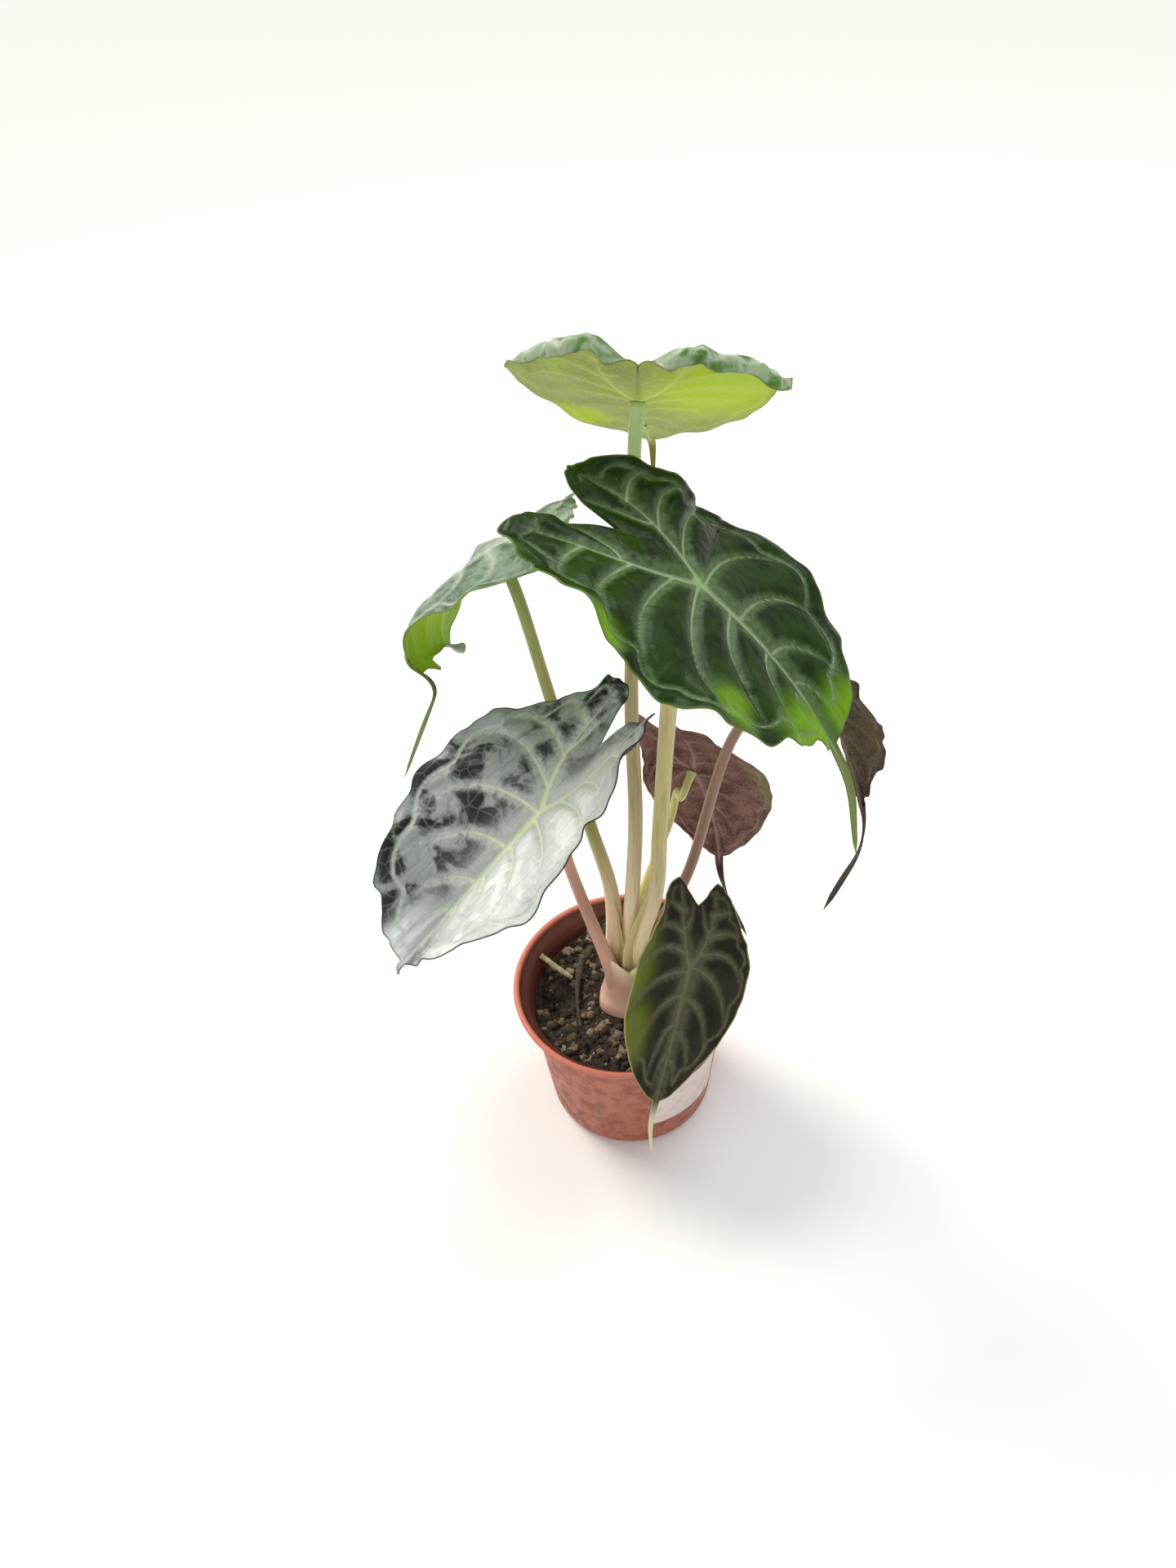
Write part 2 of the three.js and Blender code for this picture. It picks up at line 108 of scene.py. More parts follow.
# A grid of across by along faces, wrapped over a shape: place gives each point's position in
# millimetres and the marks that its material reads, from its shares across and along.
def wrapGrid(name, across, along, place, closed=True):
    bpy.ops.mesh.primitive_grid_add(x_subdivisions=across, y_subdivisions=along, size=1)
    piece = bpy.context.object
    piece.name = piece.data.name = name
    mesh = piece.data
    flat = np.empty(len(mesh.vertices) * 3)
    mesh.vertices.foreach_get("co", flat)
    u, v = flat.reshape(-1, 3)[:, 0] + 0.5, flat.reshape(-1, 3)[:, 1] + 0.5
    points, marks = place(u, v)
    mesh.vertices.foreach_set("co", (points * mm).ravel())
    for mark, values in marks.items():
        kind = "FLOAT_VECTOR" if values.ndim == 2 else "FLOAT"
        layer = mesh.attributes.new(mark, kind, "POINT")
        layer.data.foreach_set("vector" if values.ndim == 2 else "value", values.astype(np.float32).ravel())
    bpy.ops.object.mode_set(mode="EDIT")
    bpy.ops.mesh.select_all(action="SELECT")
    bpy.ops.mesh.remove_doubles(threshold=2e-6)
    if closed:
        bpy.ops.mesh.normals_make_consistent(inside=False)
    bpy.ops.object.mode_set(mode="OBJECT")
    bpy.ops.object.shade_smooth()
    return piece


def applied(piece, kind, **settings):
    bpy.context.view_layer.objects.active = piece
    modifier = piece.modifiers.new(kind.title(), kind)
    for name, value in settings.items():
        setattr(modifier, name, value)
    bpy.ops.object.modifier_apply(modifier=modifier.name)


def keep(piece, nodes=(), materials=()):
    for material in materials:
        piece.data.materials.append(material)
    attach(piece, "root")
    if nodes:
        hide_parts(*nodes)
    piece.select_set(False)


def smooth(x, low, high):
    t = np.clip((x - low) / (high - low), 0, 1)
    return t * t * (3 - 2 * t)


def rowwise(points):
    return points / np.linalg.norm(points, axis=-1, keepdims=True)


# A centripetal Catmull-Rom curve through the points, in even steps along its length.
def curveThrough(points, count):
    p = np.array(points, float)
    p = np.vstack([2 * p[0] - p[1], p, 2 * p[-1] - p[-2]])
    fine = []
    for a, b, c, d in zip(p, p[1:], p[2:], p[3:]):
        gaps = [max(np.linalg.norm(e - f) ** 0.5, 1e-4) for e, f in ((b, a), (c, b), (d, c))]
        start = ((b - a) / gaps[0] - (c - a) / (gaps[0] + gaps[1]) + (c - b) / gaps[1]) * gaps[1]
        end = ((c - b) / gaps[1] - (d - b) / (gaps[1] + gaps[2]) + (d - c) / gaps[2]) * gaps[1]
        t = np.linspace(0, 1, 40, endpoint=False)[:, None]
        bend = (-3 * b + 3 * c - 2 * start - end) * t**2 + (2 * b - 2 * c + start + end) * t**3
        fine.append(b + start * t + bend)
    fine = np.vstack([*fine, p[-2]])
    length = np.concatenate([[0], np.cumsum(np.linalg.norm(np.diff(fine, axis=0), axis=1))])
    even = np.linspace(0, length[-1], count)
    return np.stack([np.interp(even, length, fine[:, k]) for k in range(3)], axis=1), length[-1]


# A round tube along a centre line; radiusAt gives its radius from the share along and the angle.
def tubePiece(name, points, radiusAt, sides, steps):
    line, length = curveThrough(points, steps + 1)
    along = rowwise(np.gradient(line, axis=0))
    side = np.zeros_like(along)
    side[0] = np.cross(along[0], (0, 1, 0.01))
    for i in range(1, len(line)):
        side[i] = side[i - 1] - along[i] * np.dot(side[i - 1], along[i])
        side[i] /= np.linalg.norm(side[i])
    side[0] /= np.linalg.norm(side[0])
    up = np.cross(along, side)
    capShare = 0.02  # share of the grid that closes each end

    def place(u, v):
        share = np.clip((v - capShare) / (1 - 2 * capShare), 0, 1)
        i = np.rint(share * steps).astype(int)
        angle = 2 * pi * u
        cap = np.minimum(1, np.minimum(v, 1 - v) / capShare)
        radius = (radiusAt(share, angle) * cap)[:, None]
        points = line[i] + radius * (side[i] * np.cos(angle)[:, None] + up[i] * np.sin(angle)[:, None])
        flat = np.stack([angle * 3 * mm, share * length * mm, 0 * u], axis=1)
        return points, {"share": share, "flat": flat}

    return wrapGrid(name, sides, steps + 6, place)


view = {"place": (-12.5, -375, 583), "pitch": 43.3, "roll": 4.2, "lens": 27}
pitch, roll = radians(view["pitch"]), radians(view["roll"])
ahead = Vector((0, cos(pitch), -sin(pitch)))
down = Vector((0, -sin(pitch), -cos(pitch)))
rightward = Vector((cos(roll), 0, 0)) + down * sin(roll)
downward = down * cos(roll) - Vector((sin(roll), 0, 0))
camera = bpy.data.objects.new("camera", bpy.data.cameras.new("camera"))
bpy.context.collection.objects.link(camera)
turned = Matrix((rightward, -downward, -ahead)).transposed().to_4x4()
camera.matrix_world = Matrix.Translation(Vector(view["place"]) * mm) @ turned
camera.data.lens = view["lens"]
camera.data.sensor_width = 36
camera.data.clip_start = 0.01
bpy.context.scene.camera = camera
bpy.context.scene.view_settings.view_transform = "Standard"

lamps = {  # where each stands, how wide it is (metres, or degrees for the sun), its strength and tint
    "window": {"kind": "SUN", "place": (-0.75, 0.7, 1.25), "size": 28, "watts": 2.3, "tint": "#fff9ee"},
    "sky": {"kind": "AREA", "place": (0.5, 0.35, 1.5), "size": 0.9, "watts": 9, "tint": "#fbfcff"},
    "fill": {"kind": "AREA", "place": (-0.45, -1.2, 0.9), "size": 1.0, "watts": 4, "tint": "#fffdf8"},
}
for name, lamp in lamps.items():
    light = bpy.data.lights.new(name, lamp["kind"])
    if lamp["kind"] == "SUN":
        light.angle = radians(lamp["size"])
    else:
        light.size = lamp["size"]
    light.energy, light.color = lamp["watts"], linear(lamp["tint"])[:3]
    holder = bpy.data.objects.new(name, light)
    holder.location = lamp["place"]
    toPlant = Vector((0, 0, 0.25)) - holder.location
    holder.rotation_euler = toPlant.to_track_quat("-Z", "Y").to_euler()
    bpy.context.collection.objects.link(holder)

world = bpy.data.worlds.new("studio")
world.use_nodes = True
world.node_tree.nodes["Background"].inputs["Color"].default_value = linear("#fdfdfc")
world.node_tree.nodes["Background"].inputs["Strength"].default_value = 0.55
bpy.context.scene.world = world

# Seamless matt white backdrop board: nearly no gloss, so that only soft shadows show on it.
backdrop, tree = newMaterial("white_backdrop_board")
surface(tree, {"Base Color": linear("#f4f4f3"), "Roughness": 0.95})
bpy.ops.mesh.primitive_plane_add(size=40, location=(0, 0, 0))
floor = bpy.context.object
floor.name = "floor"
floor.data.materials.append(backdrop)
floor.select_set(False)
print("camera, light and floor")


pot = {
    "height": 89, "rim": 59, "shoulder": 51.5, "base": 44, "wall": 1.4, "flare": 80, "roll": 1.6, "foot": 5,
    "holes": 6, "holeRadius": 4, "holeRing": 31, "oval": 0.004,
    "plastic": ("#a65b43", "#8d4733"), "stain_and_dappled_shadow": "#7d3f30", "dust": "#cf937d",
    "painted_shade_inside": "#5f3025", "lip": "#cb7660",  # painted shade on the inside, and a lighter band round the rim's crest
}


# Injection-moulded polypropylene, dusty and with water stains: satin, with soft brown blotches that are
# partly stains and partly painted dappled shadow.
def potPlastic():
    material, tree = newMaterial("moulded_terracotta_polypropylene")
    at = addNode(tree, "TexCoord").outputs["Object"]
    runs = addNode(tree, "Mapping", {"Vector": at, "Scale": (1, 1, 0.3)}).outputs[0]  # stains that run down, with painted dappled shadow
    clean, stained_and_dapple_shaded = (linear(c) for c in pot["plastic"])
    # darker blotches: stains and painted dappled shadow
    colour, stain = blotched(tree, at, 9, clean, stained_and_dapple_shaded, 0.4, 0.68, detail=4, rough=0.6, warp=0.6)
    colour, _ = blotched(tree, runs, 6, colour, linear(pot["stain_and_dappled_shadow"]), 0.52, 0.7, 0.55, rough=0.55, warp=0.3)
    colour, _ = blotched(tree, at, 2.2, colour, linear(pot["dust"]), 0.56, 0.75, 0.35, detail=5, rough=0.7)
    # the inside darkened as painted shade, and the rim's crest lighter
    for mark in ("painted_shade_inside", "lip"):
        share = addNode(tree, "Attribute", attribute_name=mark).outputs["Fac"]
        inputs = {0: share, 6: colour, 7: linear(pot[mark])}
        colour = addNode(tree, "Mix", inputs, data_type="RGBA").outputs[2]
    inputs = {"Value": stain, "From Min": 0.3, "From Max": 0.7, "To Min": 0.36, "To Max": 0.6}
    rough = addNode(tree, "MapRange", inputs, interpolation_type="SMOOTHSTEP").outputs[0]
    grain = addNode(tree, "TexNoise", {"Vector": at, "Scale": 1 / (0.8 * mm), "Detail": 2}).outputs[0]
    skin = {
        "Base Color": colour, "Roughness": rough, "IOR": 1.49,
        "Subsurface Weight": 0.05, "Subsurface Radius": (0.002, 0.0008, 0.0005)}
    surface(tree, skin, [(grain, 0.12, 0.3)])
    return material


def wallRadius(z):
    return pot["base"] + (pot["shoulder"] - pot["base"]) * z / pot["flare"]


# The pot's section: out along the base, up the wall, round the rolled rim and back down inside.
def potSection():
    foot, wall, roll = wallRadius(pot["foot"]) - pot["foot"], pot["wall"], pot["roll"]
    rows = [(0, 0), (pot["base"] - pot["foot"] - 1.5, 0)]
    rows += [(foot + pot["foot"] * sin(a), pot["foot"] * (1 - cos(a))) for a in np.linspace(0.15, pi / 2, 8)]
    rows += [(wallRadius(z), z) for z in (20, 40, 60, 78)]
    rows += [(pot["shoulder"] + 1.6, pot["flare"] + 2), (pot["rim"] - 2.6, pot["flare"] + 5.5)]
    middle = (pot["rim"] - roll, pot["height"] - roll)
    rows += [(middle[0] + roll * cos(a), middle[1] + roll * sin(a)) for a in np.linspace(-0.6, 3.3, 14)]
    rows += [(pot["rim"] - 2.8 - wall, pot["flare"] + 5.5), (pot["shoulder"] + 1.4 - wall, pot["flare"] + 2)]
    rows += [(wallRadius(z) - wall, z) for z in (78, 60, 40, 20, 7)]
    rows += [(pot["base"] - pot["foot"], wall), (0, wall)]
    return np.array(rows)


def nurseryPot():
    rows = potSection()
    length = np.concatenate([[0], np.cumsum(np.hypot(*np.diff(rows, axis=0).T))])
    crest = length[np.argmax(rows[:, 1])] / length[-1]

    def place(u, v):
        r = np.interp(v * length[-1], length, rows[:, 0])
        z = np.interp(v * length[-1], length, rows[:, 1])
        angle = 2 * pi * u
        # slightly oval towards the top, as a thin moulding is never quite round
        r = r * (1 + pot["oval"] * np.sin(2 * angle + 0.7) * np.clip(z / 60, 0, 1))
        # painted shade over the whole inside, from just past the rim's crest
        painted_shade_inside = smooth(v, crest + 0.003, crest + 0.012)
        lip = smooth(np.clip(1 - np.abs(v - crest) / 0.012, 0, 1), 0, 0.6)
        return np.stack([r * np.cos(angle), r * np.sin(angle), z], axis=1), {"painted_shade_inside": painted_shade_inside, "lip": lip}

    piece = wrapGrid("nursery_pot_moulded", 160, 230, place)
    cutters = []
    for i in range(pot["holes"]):
        a = radians(30 + i * 360 / pot["holes"])
        spot = (pot["holeRing"] * cos(a) * mm, pot["holeRing"] * sin(a) * mm, 0)
        bpy.ops.mesh.primitive_cylinder_add(
            vertices=32, radius=pot["holeRadius"] * mm, depth=6 * mm, location=spot)
        cutters.append(bpy.context.object)
    for cutter in cutters:
        cutter.select_set(True)
    bpy.context.view_layer.objects.active = cutters[0]
    bpy.ops.object.join()
    drill = bpy.context.object
    drill.select_set(False)
    applied(piece, "BOOLEAN", object=drill, operation="DIFFERENCE", solver="EXACT")
    bpy.data.objects.remove(drill)
    keep(piece, ["nursery_pot"], [potPlastic()])


label = {
    "bottom": 22, "height": 36, "from": -80, "to": -30, "thick": 0.3, "corner": 3, "radius": 47, "gap": 0.45,
    # the paper's tones are darkened as painted shade
    "cockle": 0.12, "paper_with_painted_shade": ("#dccfca", "#cbbab4"),
}


# Blank self-adhesive paper: matt, with faint scuffs and a slight cockle; its whole colour is darkened as
# painted shade.
def labelPaper():
    material, tree = newMaterial("blank_label_paper")
    at = addNode(tree, "TexCoord").outputs["Object"]
    clean, scuffed = (linear(c) for c in label["paper_with_painted_shade"])
    colour, scuff = blotched(tree, at, 5, clean, scuffed, 0.45, 0.7, detail=4, rough=0.6)
    surface(tree, {"Base Color": colour, "Roughness": 0.62}, [(scuff, 0.3, 0.6)])
    return material


def potLabel():
    width = radians(label["to"] - label["from"]) * label["radius"]

    def place(u, v):
        x, y = (u - 0.5) * width, (v - 0.5) * label["height"]
        # rounded corners: points near a corner are drawn in to its arc
        insetX, insetY = width / 2 - label["corner"], label["height"] / 2 - label["corner"]
        overX, overY = np.maximum(np.abs(x) - insetX, 0), np.maximum(np.abs(y) - insetY, 0)
        reach = np.hypot(overX, overY)
        pull = np.where(reach > 0, np.maximum(overX, overY) / np.maximum(reach, 1e-6), 1)
        x = np.sign(x) * (np.minimum(np.abs(x), insetX) + overX * pull)
        y = np.sign(y) * (np.minimum(np.abs(y), insetY) + overY * pull)
        z = label["bottom"] + label["height"] / 2 + y
        angle = radians((label["from"] + label["to"]) / 2) + x / label["radius"]
        cockle = label["cockle"] * np.sin(x / 4 + 1) * np.sin(y / 5)
        r = wallRadius(z) * 1.002 + label["gap"] + cockle
        return np.stack([r * np.cos(angle), r * np.sin(angle), z], axis=1), {}

    piece = wrapGrid("pot_label_paper", 60, 40, place, closed=False)
    applied(piece, "SOLIDIFY", thickness=label["thick"] * mm, offset=0)
    keep(piece, ["pot_label"], [labelPaper()])


soil = {
    "top": 72, "bottom": 1.7, "sides": 300, "rings": 120,
    "heaps": [(-38, 2, -9, 14), (-4, 50, 10, 15), (5, -34, 3, 18), (-24, 24, 4, 12)],  # at x, y: rise, reach
    "domes": [(2.6, 6.5, 3.1), (1.5, 2.9, 7.7), (0.7, 1.3, 1.9)],  # height and width of clumps, and a seed
    "scatter": 48, "edge": 49, "stemGap": 14,  # how far out loose crumbs lie, and how far from the stem
    "clumps": {"count": 1500, "sizes": (0.5, 3.0), "flatness": 0.8, "tints": (0, 0.9)},
    "chips": {"count": 150, "sizes": (0.4, 2.2), "flatness": 0.7, "tints": (0, 1)},
}


# Loose earthy stuff: matt, several browns mixed by clump and by grain.
def earthy(name, tones, clump, grain):
    material, tree = newMaterial(name)
    dark, middle, light = (linear(c) for c in tones)
    at = addNode(tree, "TexCoord").outputs["Object"]
    tint = addNode(tree, "Attribute", attribute_name="tint").outputs["Fac"]
    colour, _ = blotched(tree, at, clump, dark, middle, 0.35, 0.65, detail=4, rough=0.65)
    colour, fine = blotched(tree, at, grain, colour, light, 0.58, 0.72, 0.6, detail=4, rough=0.75)
    colour = layOver(tree, colour, light, tint, 0, 1)
    inputs = {"Value": fine, "From Min": 0.3, "From Max": 0.7, "To Min": 0.98, "To Max": 0.8}
    rough = addNode(tree, "MapRange", inputs, interpolation_type="SMOOTHSTEP").outputs[0]
    surface(tree, {"Base Color": colour, "Roughness": rough}, [(fine, 0.8, 1.2)])
    return material


def soilHeight(x, y):
    z = soil["top"] + 0 * x
    for atX, atY, rise, reach in soil["heaps"]:
        z = z + rise * np.exp(-((x - atX) ** 2 + (y - atY) ** 2) / reach**2)
    return z


# Rounded clumps of peat: a dome on each cell of a scattered grid, cells that many millimetres wide.
def domes(x, y, cell, seed):
    heights = np.empty(len(x))
    for i, (a, b) in enumerate(zip(x, y)):
        near = noise.voronoi(Vector((a / cell + seed, b / cell, seed)))[0][0]
        heights[i] = 1 - min(near, 1) ** 1.5
    return heights


# The soil's skin: out under it, up inside the pot's wall, then in over the clumpy top.
def pottingSoil():
    gap = pot["wall"] + 0.2  # from the wall's outside to the soil's side
    wallShare = 0.14  # share of the rows below the top
    rows = [0, 0.03, 0.06, wallShare]
    radii = [0, pot["base"] - pot["foot"] - 1, wallRadius(4) - gap - 1, wallRadius(60) - gap]
    heights = [soil["bottom"], soil["bottom"], 5, 60]

    def place(u, v):
        angle = 2 * pi * u
        r, z = np.interp(v, rows, radii), np.interp(v, rows, heights)
        top = v > wallShare
        share = np.clip((1 - v[top]) / (1 - wallShare), 0, 1)
        r[top] = share * (wallRadius(soil["top"]) - gap)
        x, y = r * np.cos(angle), r * np.sin(angle)
        bumps = sum(height * domes(x[top], y[top], cell, seed) for height, cell, seed in soil["domes"])
        flatter = 0.35 + 0.65 * smooth(share, 1.0, 0.96)  # at the wall
        z[top] = soilHeight(x[top], y[top]) + (bumps - soil["domes"][0][0]) * flatter
        return np.stack([x, y, z], axis=1), {"tint": 0 * z}

    piece = wrapGrid("potting_soil_surface", soil["sides"], soil["rings"], place)
    keep(piece, ["potting_soil"], [peat])


# Loose crumbs of peat and pale chips of bark and perlite, scattered and half sunk.
def looseCrumbs(name, kind, material):
    bpy.ops.mesh.primitive_uv_sphere_add(segments=8, ring_count=5, radius=1)
    pattern = bpy.context.object
    ball = np.array([v.co for v in pattern.data.vertices])
    (small, large), (darkest, palest) = kind["sizes"], kind["tints"]
    copies = []
    for _ in range(kind["count"]):
        angle, reach = chance.uniform(0, 2 * pi), soil["scatter"] * chance.uniform(0, 1) ** 0.5
        x, y = reach * cos(angle), reach * sin(angle)
        size = small + (large - small) * chance.random() ** 3
        if np.hypot(x + 1, y + 0.5) < soil["stemGap"] + size or reach + size > soil["edge"]:
            continue
        mesh = pattern.data.copy()
        turn = np.linalg.qr(chance.normal(size=(3, 3)))[0]
        lump = ball * (1 + 0.4 * chance.normal(size=(len(ball), 1)).clip(-1.6, 1.6)) * size
        lump = lump @ turn * (1, 1, kind["flatness"])
        lump += (x, y, float(soilHeight(np.array(x), np.array(y))) - 0.6 + 0.35 * size)
        mesh.vertices.foreach_set("co", (lump * mm).ravel())
        pale = darkest + (palest - darkest) * chance.random() ** 2.5
        tint = mesh.attributes.new("tint", "FLOAT", "POINT")
        tint.data.foreach_set("value", np.full(len(ball), pale, np.float32))
        copy = bpy.data.objects.new(name, mesh)
        bpy.context.collection.objects.link(copy)
        copies.append(copy)
    bpy.data.objects.remove(pattern)
    for copy in copies:
        copy.select_set(True)
    bpy.context.view_layer.objects.active = copies[0]
    bpy.ops.object.join()
    piece = bpy.context.object
    piece.name = piece.data.name = name
    bpy.ops.object.shade_smooth()
    keep(piece, (), [material])


# Lumps of bark and perlite, each grown round its place in the frame.
def barkCrumbs():
    for i in range(1, 6):
        low, high = (Vector(corner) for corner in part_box(f"crumb_{i}"))
        bpy.ops.mesh.primitive_ico_sphere_add(subdivisions=5, radius=1)
        piece = bpy.context.object
        piece.name = piece.data.name = f"bark_lump_{i}"
        middle, half = (low + high) / 2, (high - low) / 2
        for vertex in piece.data.vertices:
            knob = noise.fractal(vertex.co * 2.2 + Vector((i * 9, 0, 0)), 0.6, 2.2, 4)
            big = noise.voronoi(vertex.co * 1.5 + Vector((i * 5, 0, 0)))[0][0]
            small = noise.voronoi(vertex.co * 4.0 + Vector((0, i * 5, 0)))[0][0]
            reach = 0.95 + 0.16 * knob - 0.5 * big**1.5 - 0.22 * small
            vertex.co = middle + Vector([c * h * reach for c, h in zip(vertex.co, half * 1.12)])
        tint = piece.data.attributes.new("tint", "FLOAT", "POINT")
        tint.data.foreach_set("value", np.full(len(piece.data.vertices), 0.2, np.float32))
        bpy.ops.object.shade_smooth()
        keep(piece, [f"crumb_{i}"], [bark])


peat = earthy("damp_peat_mix", ("#1a1410", "#46392d", "#b39c82"), 3.0, 0.8)
bark = earthy("composted_bark_and_perlite", ("#5a4836", "#98806a", "#d6c8ae"), 1.8, 0.6)

nurseryPot()
potLabel()
print("pot and label")
pottingSoil()
looseCrumbs("peat_crumbs", soil["clumps"], peat)
looseCrumbs("pale_chips", soil["chips"], bark)
barkCrumbs()


# The radius of a stray's tube: from its radii along it, knobbly all round.
def knobbly(radii, bumpiness, seed):
    def radiusAt(share, angle):
        wave = np.sin(share * 31 + seed) * 0.5 + np.sin(share * 67 + 2 * angle + seed) * 0.35
        wave = wave + np.sin(3 * angle + share * 19) * 0.3
        return np.interp(share, np.linspace(0, 1, len(radii)), radii) * (1 + bumpiness * wave)
    return radiusAt


strays = {
    "dry_stalk": {
        "name": "dry_stalk_bleached", "path": [(-44.6, 23.8, 83.4), (-37.5, 19, 79.5), (-28.5, 13.5, 75)],
        "radii": (1.4, 1.5, 1.2), "knobs": 0.12, "seed": 1, "steps": 60, "slot": "dry_straw",
        "skin": "bleached_dry_stalk", "tones": ("#9b9468", "#c9c39c", "#e4dfc2"), "clump": 3.0,
    },
    "old_root": {
        "name": "old_root_weathered",
        "path": [
            (-16.4, 31.5, 77.6), (-21.5, 24.5, 78.6), (-25, 14.5, 76), (-26.5, 0, 71.5), (-25.5, -17, 73.6)],
        "radii": (1.9, 2.1, 1.3, 0.8, 0.6), "knobs": 0.2, "seed": 4, "steps": 90, "slot": "root_skin",
        "skin": "weathered_root_bark", "tones": ("#3c322b", "#62554a", "#9a8d7f"), "clump": 2.5,
    },
}
for node, stray in strays.items():
    radiusAt = knobbly(stray["radii"], stray["knobs"], stray["seed"])
    piece = tubePiece(stray["name"], stray["path"], radiusAt, 16, stray["steps"])
    keep(piece, [node], [earthy(stray["skin"], stray["tones"], stray["clump"], 0.7)])
print("soil and what lies on it")

# One half of a blade's outline, from the tip round the lobe to the notch, in half widths
# across and in blade or lobe lengths along.
halfOutline = [
    (0, 1), (0.22, 0.92), (0.52, 0.73), (0.8, 0.47), (0.97, 0.19), (1, -0.12),
    (0.86, -0.38), (0.67, -0.64), (0.5, -0.88), (0.31, -1), (0.13, -0.84), (0, -0.62),
]
# Side veins: start as a share of the midrib, end as a point of the outline.
sideVeins = [(0.64, 0.75), (0.44, 1.4), (0.22, 2.3), (0.02, 3.3)]
# Veins off the rib that runs into each lobe: start as a share of that rib, end on the
# outline, and how far back the vein swings first, in lobe lengths.
lobeVeins = [(0.24, 4.5, 0.2), (0.5, 6.0, 0.16), (0.74, 7.4, 0.08), (0.55, 9.9, 0)]
skinThickness = 0.45
